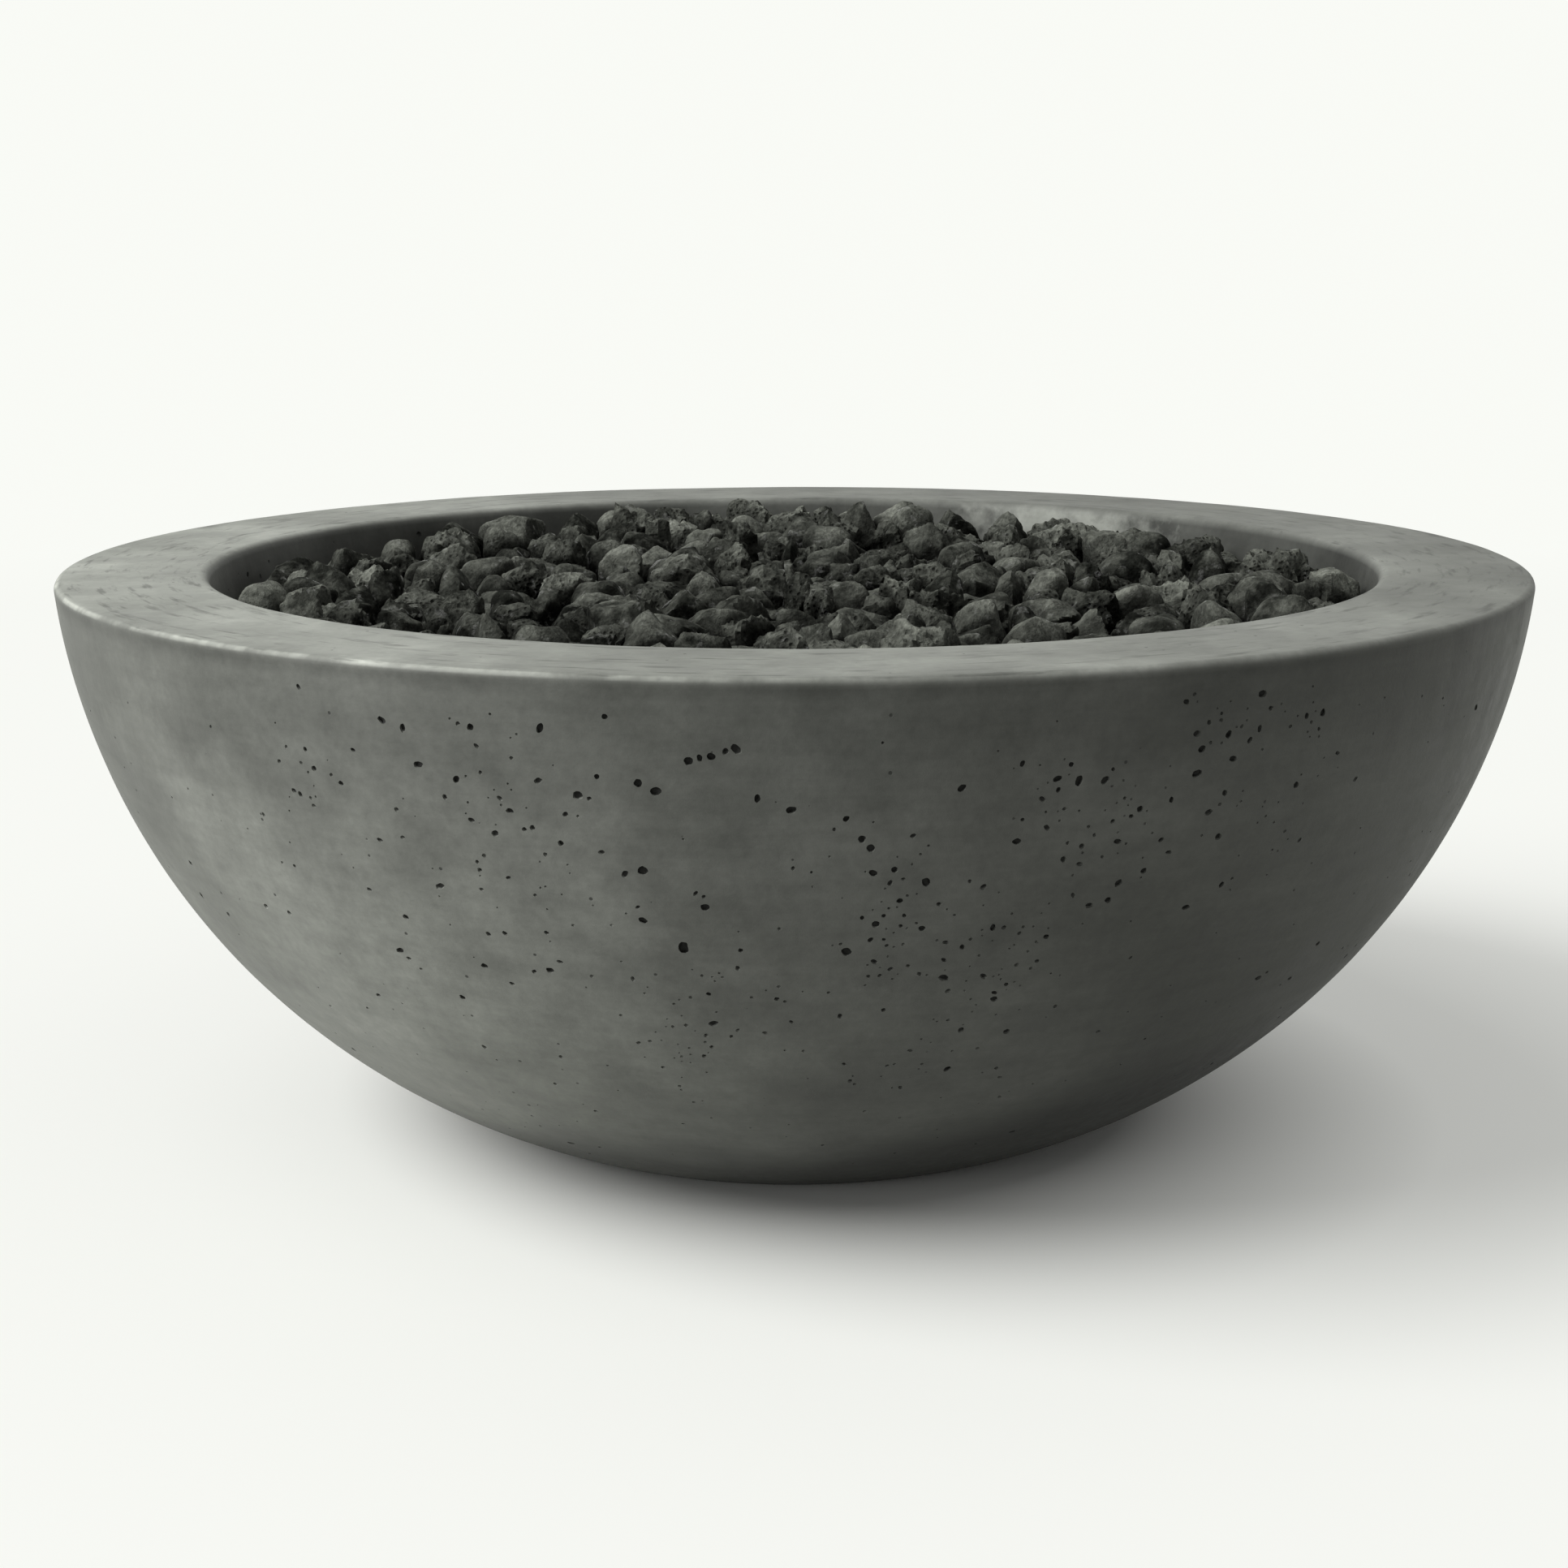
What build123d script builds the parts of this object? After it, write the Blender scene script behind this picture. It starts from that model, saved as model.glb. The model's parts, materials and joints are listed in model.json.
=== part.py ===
from build123d import *
import math
import os
import random

import numpy as np
from scipy.spatial import HalfspaceIntersection

os.makedirs("parts", exist_ok=True)

# Gas fire pit bowl. Origin: floor level under the middle of the bowl.
# +Z is up, -Y is the front and the gas key is at the back, on +Y.

# Cast concrete bowl
rim_radius = 457.0
overall_height = 355.0
outer_arc_radius = 415.0
arc_centre_above_rim = 36.0
shell_wall = 45.0
base_thickness = 58.0
base_hole_radius = 45.0
opening_radius = 366.0
basin_draft = 12.0
ledge_depth = 65.0
cavity_radius = 312.0
rim_outer_round = 4.0
rim_inner_round = 7.0
base_round = 10.0
ledge_round = 5.0
hole_round = 3.0

# Base pads
pad_count = 6
pad_circle_radius = 138.0
pad_radius = 20.0
pad_thickness = 5.0
pad_stand = 2.0

# Clearances between pieces that stay put, and of the turning stem
seat_gap = 0.3
bed_gap = 0.5
running_gap = 0.05

# Burner pan
pan_radius = 300.0
pan_flange_radius = 348.0
pan_depth = 50.0
pan_sheet = 2.0
pan_bend = 3.0
weep_hole_count = 8
weep_hole_radius = 4.0
weep_circle_radius = 262.0

# Burner
outer_ring_radius = 225.0
inner_ring_radius = 110.0
ring_tube_radius = 9.5
ring_tube_wall = 1.5
ring_lift = 18.0
port_radius = 1.6
outer_port_count = 36
inner_port_count = 20
port_slant = 40.0
ring_weld_gap = 0.3
spoke_count = 4
spoke_radius = 8.0
spoke_bore_radius = 6.5
hub_radius = 19.0
hub_height = 34.0
hub_round = 2.0
nipple_radius = 10.5
nipple_bore_radius = 7.5
nipple_drop = 30.0
washer_thickness = 2.0
hub_washer_radius = 18.0
hub_nut_flats = 34.0
hub_nut_height = 7.0
orifice_length = 10.0
orifice_bore_radius = 1.5
orifice_lift = 3.0

# Hoses, flare fittings and elbows
hose_radius = 7.7
hose_bore_radius = 6.2
flare_radius = 7.9
flare_length = 12.0
gas_way_radius = 5.2
flare_nut_flats = 24.0
flare_nut_length = 22.0
flare_nut_set_back = 1.5
elbow_body_radius = 14.0
elbow_arm_radius = 11.0
elbow_arm_length = 36.0
elbow_drop = 12.0
hose_end_run = 54.0
hose_valve_run = 59.0
hose_wall_room = 100.0
hose_shoulder_in = 20.0
hose_shoulder_back = 60.0
supply_shoulder_drop = 18.0
burner_shoulder_drop = 8.0
hose_side_y = 110.0
burner_side_drop = 16.0
hose_foot_x = 165.5
hose_foot_y = 15.7
supply_foot_rise = 5.0
burner_foot_drop = 6.0
hose_bend_share = 0.45

# Key valve in the back wall
valve_height = 190.0
valve_inset = 50.0
valve_body_radius = 13.0
valve_body_length = 60.0
valve_end_flats = 30.0
valve_end_length = 9.0
valve_bore_radius = 9.3
ball_radius = 8.5
ball_bore_radius = 5.0
seat_start = 5.8
seat_length = 4.2
bonnet_radius = 12.0
bonnet_length = 30.0
bonnet_thread_radius = 10.3
bonnet_thread_length = 12.0
stem_radius = 4.0
stem_square = 6.2
stem_square_length = 18.0
tang_width = 6.0
tang_thickness = 2.6
tang_depth = 2.2
o_ring_section_radius = 0.7
o_ring_pitch = 6.0
first_o_ring = 14.0
gland_nut_flats = 14.0
gland_nut_height = 6.0
gland_to_square = 2.0
extension_wall = 2.4
wall_bore_gap = 1.0
wall_washer_radius = 20.0
wall_nut_flats = 36.0
wall_nut_height = 8.0
wall_spot_radius = 23.0
wall_spot_depth = 1.0
recess_radius = 34.0
recess_lip = 3.0
flange_radius = 30.0
flange_thickness = 6.0
flange_skin = 2.7
flange_round = 2.0

# Loose key
key_radius = 6.5
key_guide_gap = 1.0
socket_gap = 0.15
key_reach = 55.0
key_bar_length = 58.0
key_bar_radius = 4.0
key_round = 1.5

# Gas inlet over the base hole
bracket_length = 152.0
bracket_width = 50.0
bracket_thickness = 3.0
bracket_corner = 8.0
screw_spacing_x = 124.0
screw_spacing_y = 28.0
screw_radius = 2.5
screw_length = 26.0
screw_head_radius = 5.0
screw_head_height = 3.0
coupling_flats = 32.0
coupling_drop = 22.0
coupling_barrel_radius = 13.0
coupling_rise = 24.0
inlet_thread_radius = 9.5
inlet_thread_length = 18.0
inlet_nut_flats = 36.0
inlet_nut_height = 8.0
inlet_elbow_radius = 17.0
inlet_elbow_height = 36.0
inlet_arm_rise = 35.0

# Lava fill
granule_depth = 8.0
rock_pitch = 38.0
rock_scatter = 9.0
rock_wall_clearance = 21.0
rock_half_width_low = 14.0
rock_half_width_high = 30.0
rock_half_height_low = 19.0
rock_half_height_high = 27.0
rock_centre_lift = 22.0
rock_lift_scatter = 3.5
rock_edge_rise = 5.0
flame_half_width = 250.0
flame_level = 350.5
rock_gap = 0.6
rock_facets = 12
rock_least_edge = 1.6
rock_ring_count = 6
rock_packing = 0.87
rock_neighbour_pitches = 2.5
rock_least_share = 0.3
rock_long_low = 0.95
rock_long_high = 1.2
rock_short_low = 0.8
rock_short_high = 1.0
rock_facet_low = 0.80
rock_facet_high = 1.0
rock_wall_span = 1.3
rock_seed = 36

# Levels and radii worked out from the sizes above
base_level = pad_stand
floor_level = base_level + base_thickness
ledge_level = overall_height - ledge_depth
arc_level = overall_height + arc_centre_above_rim
arc_radial = rim_radius - math.sqrt(outer_arc_radius**2 - arc_centre_above_rim**2)
inner_arc_radius = outer_arc_radius - shell_wall
ledge_radius = opening_radius - basin_draft


def on_arc(level, radius):
    """Point (radial, level) of the bowl's section, on the arc of this radius."""
    return (arc_radial + math.sqrt(radius**2 - (arc_level - level) ** 2), level)


def arc_level_at(radial, radius):
    """Level at which the arc of this radius reaches a radial distance."""
    return arc_level - math.sqrt(radius**2 - (radial - arc_radial) ** 2)


def turned_edge(part, radius, level):
    """The circular edge of a turned part nearest to one radius and level."""
    circles = part.edges().filter_by(GeomType.CIRCLE)
    return circles.sort_by(lambda e: abs(e.radius - radius) + abs(e.arc_center.Z - level))[0]


def corner_of(sketch, radial, level):
    """The corner of a section nearest to a point."""
    return sketch.vertices().sort_by_distance((radial, level))[0]


pan_floor_level = ledge_level - pan_depth
pan_inside_level = pan_floor_level + pan_sheet
ring_level = pan_inside_level + ring_lift
hub_top_level = pan_inside_level + hub_height
nipple_low_level = pan_floor_level - nipple_drop
burner_elbow_level = nipple_low_level - elbow_drop
flange_top_level = ledge_level + pan_sheet
bed_level = flange_top_level + granule_depth

valve_y = cavity_radius - valve_inset
bonnet_end_y = valve_y + bonnet_length
bonnet_thread_end_y = bonnet_end_y + bonnet_thread_length
wall_seat_y = cavity_radius + wall_spot_depth
recess_floor_y = on_arc(valve_height - recess_radius, outer_arc_radius)[0] - recess_lip
flange_face_y = recess_floor_y + flange_thickness
extension_bore_radius = bonnet_thread_radius + seat_gap
extension_radius = extension_bore_radius + extension_wall
extension_end_y = flange_face_y - flange_skin - seat_gap
square_start_y = bonnet_thread_end_y + gland_nut_height + gland_to_square
key_end_y = flange_face_y + key_reach

bracket_top_level = floor_level + bracket_thickness
coupling_low_level = floor_level - coupling_drop
coupling_top_level = floor_level + coupling_rise
inlet_elbow_low_level = bracket_top_level + inlet_nut_height + seat_gap
inlet_arm_level = bracket_top_level + inlet_arm_rise


def wall_plane(y):
    """Plane across the valve's stem axis, facing out of the back of the bowl."""
    return Plane(origin=(0, y, valve_height), x_dir=(-1, 0, 0), z_dir=(0, 1, 0))


def passage_plane(x):
    """Plane across the valve's gas passage, facing +X."""
    return Plane(origin=(x, valve_y, valve_height), x_dir=(0, 1, 0), z_dir=(1, 0, 0))


# Bowl shell: one casting, turned about the vertical axis
with BuildPart() as bowl_shell:
    with BuildSketch(Plane.XZ) as bowl_section:
        with BuildLine():
            base_edge = on_arc(base_level, outer_arc_radius)
            rim_edge = on_arc(overall_height, outer_arc_radius)
            outer_middle = on_arc((base_level + overall_height) / 2, outer_arc_radius)
            cavity_corner = (cavity_radius, arc_level_at(cavity_radius, inner_arc_radius))
            floor_corner = on_arc(floor_level, inner_arc_radius)
            inner_middle = on_arc((cavity_corner[1] + floor_level) / 2, inner_arc_radius)
            Line((base_hole_radius, base_level), base_edge)
            ThreePointArc(base_edge, outer_middle, rim_edge)
            Polyline(
                rim_edge,
                (opening_radius, overall_height),
                (ledge_radius, ledge_level),
                (cavity_radius, ledge_level),
                cavity_corner,
            )
            ThreePointArc(cavity_corner, inner_middle, floor_corner)
            Polyline(
                floor_corner,
                (base_hole_radius, floor_level),
                (base_hole_radius, base_level),
            )
        make_face()
    revolve(axis=Axis.Z)
    fillet(turned_edge(bowl_shell, rim_radius, overall_height), radius=rim_outer_round)
    fillet(turned_edge(bowl_shell, opening_radius, overall_height), radius=rim_inner_round)
    fillet(turned_edge(bowl_shell, ledge_radius, ledge_level), radius=ledge_round)
    fillet(turned_edge(bowl_shell, cavity_radius, ledge_level), radius=hole_round)
    fillet(turned_edge(bowl_shell, base_edge[0], base_level), radius=base_round)
    fillet(turned_edge(bowl_shell, base_hole_radius, base_level), radius=hole_round)
    # Pockets under the base for the pads
    with BuildSketch(Plane.XY.offset(base_level)):
        with PolarLocations(pad_circle_radius, pad_count):
            Circle(pad_radius + seat_gap)
    extrude(amount=pad_thickness - pad_stand, mode=Mode.SUBTRACT)
    # Way through the back wall for the valve's extension, with a recess outside
    with BuildSketch(wall_plane(cavity_radius - wall_nut_height)):
        Circle(extension_radius + wall_bore_gap)
    extrude(amount=rim_radius - cavity_radius, mode=Mode.SUBTRACT)
    with BuildSketch(wall_plane(cavity_radius - wall_nut_height)):
        Circle(wall_spot_radius)
    extrude(amount=wall_nut_height + wall_spot_depth, mode=Mode.SUBTRACT)
    with BuildSketch(wall_plane(recess_floor_y)):
        Circle(recess_radius)
    extrude(amount=rim_radius - recess_floor_y, mode=Mode.SUBTRACT)
    # Holes for the bracket's screws
    with BuildSketch(Plane.XY.offset(floor_level)):
        with GridLocations(screw_spacing_x, screw_spacing_y, 2, 2):
            Circle(screw_radius + seat_gap)
    extrude(amount=-(screw_length - bracket_thickness + seat_gap), mode=Mode.SUBTRACT)
bowl_shell.part.label = "bowl_shell"
export_step(bowl_shell.part, "parts/bowl_shell.step")

# Base pads: rubber discs let into the base
with BuildPart() as base_pads:
    with BuildSketch():
        with PolarLocations(pad_circle_radius, pad_count):
            Circle(pad_radius)
    extrude(amount=pad_thickness)
base_pads.part.label = "base_pads"
export_step(base_pads.part, "parts/base_pads.step")

# Burner pan: folded sheet with a flange that rests on the basin's ledge
with BuildPart() as burner_pan:
    with BuildSketch(Plane.XZ) as pan_section:
        with BuildLine():
            Polyline(
                (nipple_radius + seat_gap, pan_floor_level),
                (pan_radius, pan_floor_level),
                (pan_radius, ledge_level),
                (pan_flange_radius, ledge_level),
                (pan_flange_radius, flange_top_level),
                (pan_radius - pan_sheet, flange_top_level),
                (pan_radius - pan_sheet, pan_inside_level),
                (nipple_radius + seat_gap, pan_inside_level),
                close=True,
            )
        make_face()
        inner_bends = [
            corner_of(pan_section, pan_radius - pan_sheet, pan_inside_level),
            corner_of(pan_section, pan_radius, ledge_level),
        ]
        fillet(inner_bends, radius=pan_bend)
        outer_bends = [
            corner_of(pan_section, pan_radius, pan_floor_level),
            corner_of(pan_section, pan_radius - pan_sheet, flange_top_level),
        ]
        fillet(outer_bends, radius=pan_bend + pan_sheet)
    revolve(axis=Axis.Z)
    with BuildSketch(Plane.XY.offset(pan_floor_level)):
        with PolarLocations(weep_circle_radius, weep_hole_count):
            Circle(weep_hole_radius)
    extrude(amount=pan_sheet, mode=Mode.SUBTRACT)
burner_pan.part.label = "burner_pan"
export_step(burner_pan.part, "parts/burner_pan.step")


def ring_bend(ring_radius, port_count, spoke_run):
    """One bend of a burner ring, with its gas ports and its spoke's way in."""
    share = 360 / spoke_count
    weld = math.degrees(ring_weld_gap / ring_radius)
    start = math.radians(-share / 2)
    across = (math.cos(start), math.sin(start), 0)
    start_plane = Plane(origin=(0, 0, 0), x_dir=across, z_dir=(across[1], -across[0], 0))
    bend_ports = port_count // spoke_count
    ports = []
    for index in range(bend_ports):
        turn = Location((0, 0, ring_level), (0, 0, ((index + 0.5) / bend_ports - 0.5) * share))
        ports.append(turn * Location((ring_radius, 0, 0), (0, 90 + port_slant, 0)))
    with BuildPart() as bend:
        with BuildSketch(start_plane):
            with Locations((ring_radius, ring_level)):
                Circle(ring_tube_radius)
                Circle(ring_tube_radius - ring_tube_wall, mode=Mode.SUBTRACT)
        revolve(axis=Axis.Z, revolution_arc=share - weld)
        with Locations(*ports):
            Cylinder(
                port_radius,
                2 * ring_tube_radius,
                align=(Align.CENTER, Align.CENTER, Align.MIN),
                mode=Mode.SUBTRACT,
            )
        with BuildSketch(Plane.YZ.offset(ring_radius - 2 * ring_tube_radius)):
            with Locations((0, ring_level)):
                Circle(spoke_bore_radius)
        extrude(amount=spoke_run, mode=Mode.SUBTRACT)
    return bend.part


# Outer burner ring: bent tube with gas ports, welded from one bend for each spoke
with BuildPart() as burner_outer_ring:
    with PolarLocations(0, spoke_count):
        add(ring_bend(outer_ring_radius, outer_port_count, 2 * ring_tube_radius))
burner_outer_ring.part.label = "burner_outer_ring"
export_step(burner_outer_ring.part, "parts/burner_outer_ring.step")

# Inner burner ring: the same tube on a smaller circle, open to spokes on both sides
with BuildPart() as burner_inner_ring:
    with PolarLocations(0, spoke_count):
        add(ring_bend(inner_ring_radius, inner_port_count, 4 * ring_tube_radius))
burner_inner_ring.part.label = "burner_inner_ring"
export_step(burner_inner_ring.part, "parts/burner_inner_ring.step")

# One spoke, cut into a hub stretch and a ring stretch by the inner ring
with BuildPart() as one_spoke:
    with BuildSketch(Plane.YZ.offset(hub_radius + seat_gap)):
        with Locations((0, ring_level)):
            Circle(spoke_radius)
            Circle(spoke_bore_radius, mode=Mode.SUBTRACT)
    extrude(amount=outer_ring_radius - hub_radius - seat_gap)
    with Locations((0, 0, ring_level)):
        Torus(inner_ring_radius, ring_tube_radius + seat_gap, mode=Mode.SUBTRACT)
        Torus(outer_ring_radius, ring_tube_radius + seat_gap, mode=Mode.SUBTRACT)
    # What is left of the spoke inside the inner ring's tube is cut away as well
    with BuildSketch(Plane.YZ.offset(inner_ring_radius - spoke_radius)):
        with Locations((0, ring_level)):
            Circle(spoke_radius)
    extrude(amount=2 * spoke_radius, mode=Mode.SUBTRACT)

# Spokes: short tubes from the hub to the inner ring and on to the outer ring
with BuildPart() as burner_spokes:
    with PolarLocations(0, spoke_count):
        add(one_spoke.part)
burner_spokes.part.label = "burner_spokes"
export_step(burner_spokes.part, "parts/burner_spokes.step")

# Hub: feeds the spokes and screws on the nipple
spoke_turns = [
    Location((0, 0, ring_level), (0, 0, index * 360 / spoke_count)) for index in range(spoke_count)
]
with BuildPart() as burner_hub:
    with BuildSketch(Plane.XY.offset(pan_inside_level)):
        Circle(hub_radius)
    extrude(amount=hub_height)
    fillet(turned_edge(burner_hub, hub_radius, hub_top_level), radius=hub_round)
    with BuildSketch(Plane.XY.offset(pan_inside_level)):
        Circle(nipple_radius + seat_gap)
    extrude(amount=hub_height - 2 * hub_round, mode=Mode.SUBTRACT)
    along_x = Location((0, 0, 0), (0, 90, 0))
    with Locations(*[turn * along_x for turn in spoke_turns]):
        Cylinder(
            spoke_bore_radius,
            2 * hub_radius,
            align=(Align.CENTER, Align.CENTER, Align.MIN),
            mode=Mode.SUBTRACT,
        )
burner_hub.part.label = "burner_hub"
export_step(burner_hub.part, "parts/burner_hub.step")

# Nipple: short pipe through the pan's floor
with BuildPart() as hub_nipple:
    with BuildSketch(Plane.XY.offset(nipple_low_level)):
        Circle(nipple_radius)
        Circle(nipple_bore_radius, mode=Mode.SUBTRACT)
    extrude(amount=nipple_drop + pan_sheet + ring_lift - spoke_bore_radius - seat_gap)
hub_nipple.part.label = "hub_nipple"
export_step(hub_nipple.part, "parts/hub_nipple.step")

# Orifice: brass plug that meters the gas, in the nipple's lower end
with BuildPart() as gas_orifice:
    with BuildSketch(Plane.XY.offset(nipple_low_level + orifice_lift)):
        Circle(nipple_bore_radius - running_gap)
        Circle(orifice_bore_radius, mode=Mode.SUBTRACT)
    extrude(amount=orifice_length)
gas_orifice.part.label = "gas_orifice"
export_step(gas_orifice.part, "parts/gas_orifice.step")

# Washer and locknut that clamp the pan to the hub from below
with BuildPart() as hub_washer:
    with BuildSketch(Plane.XY.offset(pan_floor_level - washer_thickness)):
        Circle(hub_washer_radius)
        Circle(nipple_radius + seat_gap, mode=Mode.SUBTRACT)
    extrude(amount=washer_thickness)
hub_washer.part.label = "hub_washer"
export_step(hub_washer.part, "parts/hub_washer.step")

with BuildPart() as hub_locknut:
    with BuildSketch(Plane.XY.offset(pan_floor_level - washer_thickness - hub_nut_height)):
        RegularPolygon(hub_nut_flats / 2, 6, major_radius=False)
        Circle(nipple_radius + seat_gap, mode=Mode.SUBTRACT)
    extrude(amount=hub_nut_height)
hub_locknut.part.label = "hub_locknut"
export_step(hub_locknut.part, "parts/hub_locknut.step")

# Burner elbow: turns the gas line from the nipple to the hose, towards +X
elbow_grip = nipple_drop - washer_thickness - hub_nut_height - seat_gap
with BuildPart() as burner_elbow:
    with BuildSketch(Plane.XY.offset(burner_elbow_level - elbow_body_radius)):
        Circle(elbow_body_radius)
    extrude(amount=elbow_body_radius + elbow_drop + elbow_grip)
    with BuildSketch(Plane.YZ):
        with Locations((0, burner_elbow_level)):
            Circle(elbow_arm_radius)
    extrude(amount=elbow_arm_length)
    with BuildSketch(Plane.YZ.offset(elbow_arm_length)):
        with Locations((0, burner_elbow_level)):
            Circle(flare_radius)
    extrude(amount=flare_length)
    with BuildSketch(Plane.XY.offset(nipple_low_level)):
        Circle(nipple_radius + seat_gap)
    extrude(amount=elbow_grip, mode=Mode.SUBTRACT)
    with BuildSketch(Plane.XY.offset(burner_elbow_level)):
        Circle(gas_way_radius)
    extrude(amount=elbow_drop, mode=Mode.SUBTRACT)
    with BuildSketch(Plane.YZ):
        with Locations((0, burner_elbow_level)):
            Circle(gas_way_radius)
    extrude(amount=elbow_arm_length + flare_length, mode=Mode.SUBTRACT)
burner_elbow.part.label = "burner_elbow"
export_step(burner_elbow.part, "parts/burner_elbow.step")

# Valve body: straight passage along X, bonnet towards the back wall
half_body = valve_body_length / 2
with BuildPart() as valve_body:
    with BuildSketch(passage_plane(-half_body)):
        Circle(valve_body_radius)
    extrude(amount=valve_body_length)
    with BuildSketch(passage_plane(-half_body)):
        RegularPolygon(valve_end_flats / 2, 6, major_radius=False)
    extrude(amount=valve_end_length)
    with BuildSketch(passage_plane(half_body)):
        RegularPolygon(valve_end_flats / 2, 6, major_radius=False)
    extrude(amount=-valve_end_length)
    with BuildSketch(wall_plane(valve_y)):
        Circle(bonnet_radius)
    extrude(amount=bonnet_length)
    with BuildSketch(wall_plane(bonnet_end_y)):
        Circle(bonnet_thread_radius)
    extrude(amount=bonnet_thread_length)
    with BuildSketch(passage_plane(-half_body)):
        Circle(valve_bore_radius)
    extrude(amount=valve_body_length, mode=Mode.SUBTRACT)
    with BuildSketch(wall_plane(valve_y)):
        Circle(stem_radius + running_gap)
    extrude(amount=bonnet_length + bonnet_thread_length, mode=Mode.SUBTRACT)
valve_body.part.label = "valve_body"
export_step(valve_body.part, "parts/valve_body.step")

# Seats: one ring on each side of the ball, coned to clear it by the running gap
seat_lead = (ball_radius + running_gap) * math.sqrt(2) - seat_start - gas_way_radius
with BuildPart() as valve_seats:
    for side in (-1, 1):
        with BuildSketch(passage_plane(side * seat_start)):
            Circle(valve_bore_radius - seat_gap)
            Circle(gas_way_radius, mode=Mode.SUBTRACT)
        extrude(amount=side * seat_length)
    circles = valve_seats.edges().filter_by(GeomType.CIRCLE)
    bore_edges = circles.group_by(SortBy.RADIUS)[0]
    chamfer(bore_edges.sort_by(lambda e: abs(e.arc_center.X))[:2], length=seat_lead)
valve_seats.part.label = "valve_seats"
export_step(valve_seats.part, "parts/valve_seats.step")

# Ball: its bore stands across the passage while the gas is off
with BuildPart() as valve_ball:
    with Locations((0, valve_y, valve_height)):
        Sphere(ball_radius)
        Cylinder(ball_bore_radius, 3 * ball_radius, mode=Mode.SUBTRACT)
    with BuildSketch(wall_plane(valve_y + ball_radius - tang_depth)):
        Rectangle(tang_width + 2 * running_gap, tang_thickness + 2 * running_gap)
    extrude(amount=tang_depth, mode=Mode.SUBTRACT)
valve_ball.part.label = "valve_ball"
export_step(valve_ball.part, "parts/valve_ball.step")

# Stem: tang in the ball, two seal grooves and a square for the key
groove_depth = 2 * o_ring_section_radius
groove_floor = stem_radius - groove_depth - running_gap
o_ring_ys = [valve_y + first_o_ring, valve_y + first_o_ring + o_ring_pitch]
with BuildPart() as valve_stem:
    with BuildSketch(wall_plane(valve_y + ball_radius)):
        Circle(stem_radius)
    extrude(amount=square_start_y - valve_y - ball_radius)
    with BuildSketch(wall_plane(square_start_y)):
        Rectangle(stem_square, stem_square)
    extrude(amount=stem_square_length)
    with BuildSketch(wall_plane(valve_y + ball_radius - tang_depth + running_gap)):
        Rectangle(tang_width, tang_thickness)
    extrude(amount=tang_depth)
    for ring_y in o_ring_ys:
        with BuildSketch(wall_plane(ring_y - o_ring_section_radius - running_gap)):
            Circle(stem_radius + seat_gap)
            Circle(groove_floor, mode=Mode.SUBTRACT)
        extrude(amount=groove_depth + 2 * running_gap, mode=Mode.SUBTRACT)
valve_stem.part.label = "valve_stem"
export_step(valve_stem.part, "parts/valve_stem.step")

# Seal rings in the stem's grooves
with BuildPart() as stem_o_rings:
    for ring_y in o_ring_ys:
        with Locations(wall_plane(ring_y)):
            Torus(stem_radius - o_ring_section_radius, o_ring_section_radius)
stem_o_rings.part.label = "stem_o_rings"
export_step(stem_o_rings.part, "parts/stem_o_rings.step")

# Gland nut: keeps the stem's packing in the bonnet
with BuildPart() as valve_gland_nut:
    with BuildSketch(wall_plane(bonnet_thread_end_y)):
        RegularPolygon(gland_nut_flats / 2, 6, major_radius=False)
        Circle(stem_radius + running_gap, mode=Mode.SUBTRACT)
    extrude(amount=gland_nut_height)
valve_gland_nut.part.label = "valve_gland_nut"
export_step(valve_gland_nut.part, "parts/valve_gland_nut.step")

# Extension: threaded tube from the bonnet through the wall
with BuildPart() as valve_extension:
    with BuildSketch(wall_plane(bonnet_end_y)):
        Circle(extension_radius)
        Circle(extension_bore_radius, mode=Mode.SUBTRACT)
    extrude(amount=extension_end_y - bonnet_end_y)
valve_extension.part.label = "valve_extension"
export_step(valve_extension.part, "parts/valve_extension.step")

# Washer and locknut on the inside of the wall
with BuildPart() as wall_washer:
    with BuildSketch(wall_plane(wall_seat_y - washer_thickness)):
        Circle(wall_washer_radius)
        Circle(extension_radius + seat_gap, mode=Mode.SUBTRACT)
    extrude(amount=washer_thickness)
wall_washer.part.label = "wall_washer"
export_step(wall_washer.part, "parts/wall_washer.step")

with BuildPart() as wall_locknut:
    with BuildSketch(wall_plane(wall_seat_y - washer_thickness - wall_nut_height)):
        RegularPolygon(wall_nut_flats / 2, 6, major_radius=False)
        Circle(extension_radius + seat_gap, mode=Mode.SUBTRACT)
    extrude(amount=wall_nut_height)
wall_locknut.part.label = "wall_locknut"
export_step(wall_locknut.part, "parts/wall_locknut.step")

# Flange: round plate in the outside recess, with the key's hole
with BuildPart() as valve_flange:
    with BuildSketch(wall_plane(recess_floor_y)):
        Circle(flange_radius)
    extrude(amount=flange_thickness)
    outer_face = valve_flange.faces().sort_by(Axis.Y)[-1]
    fillet(outer_face.edges(), radius=flange_round)
    with BuildSketch(wall_plane(recess_floor_y)):
        Circle(key_radius + key_guide_gap)
    extrude(amount=flange_thickness, mode=Mode.SUBTRACT)
    with BuildSketch(wall_plane(recess_floor_y)):
        Circle(extension_radius + seat_gap)
    extrude(amount=flange_thickness - flange_skin, mode=Mode.SUBTRACT)
valve_flange.part.label = "valve_flange"
export_step(valve_flange.part, "parts/valve_flange.step")

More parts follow.
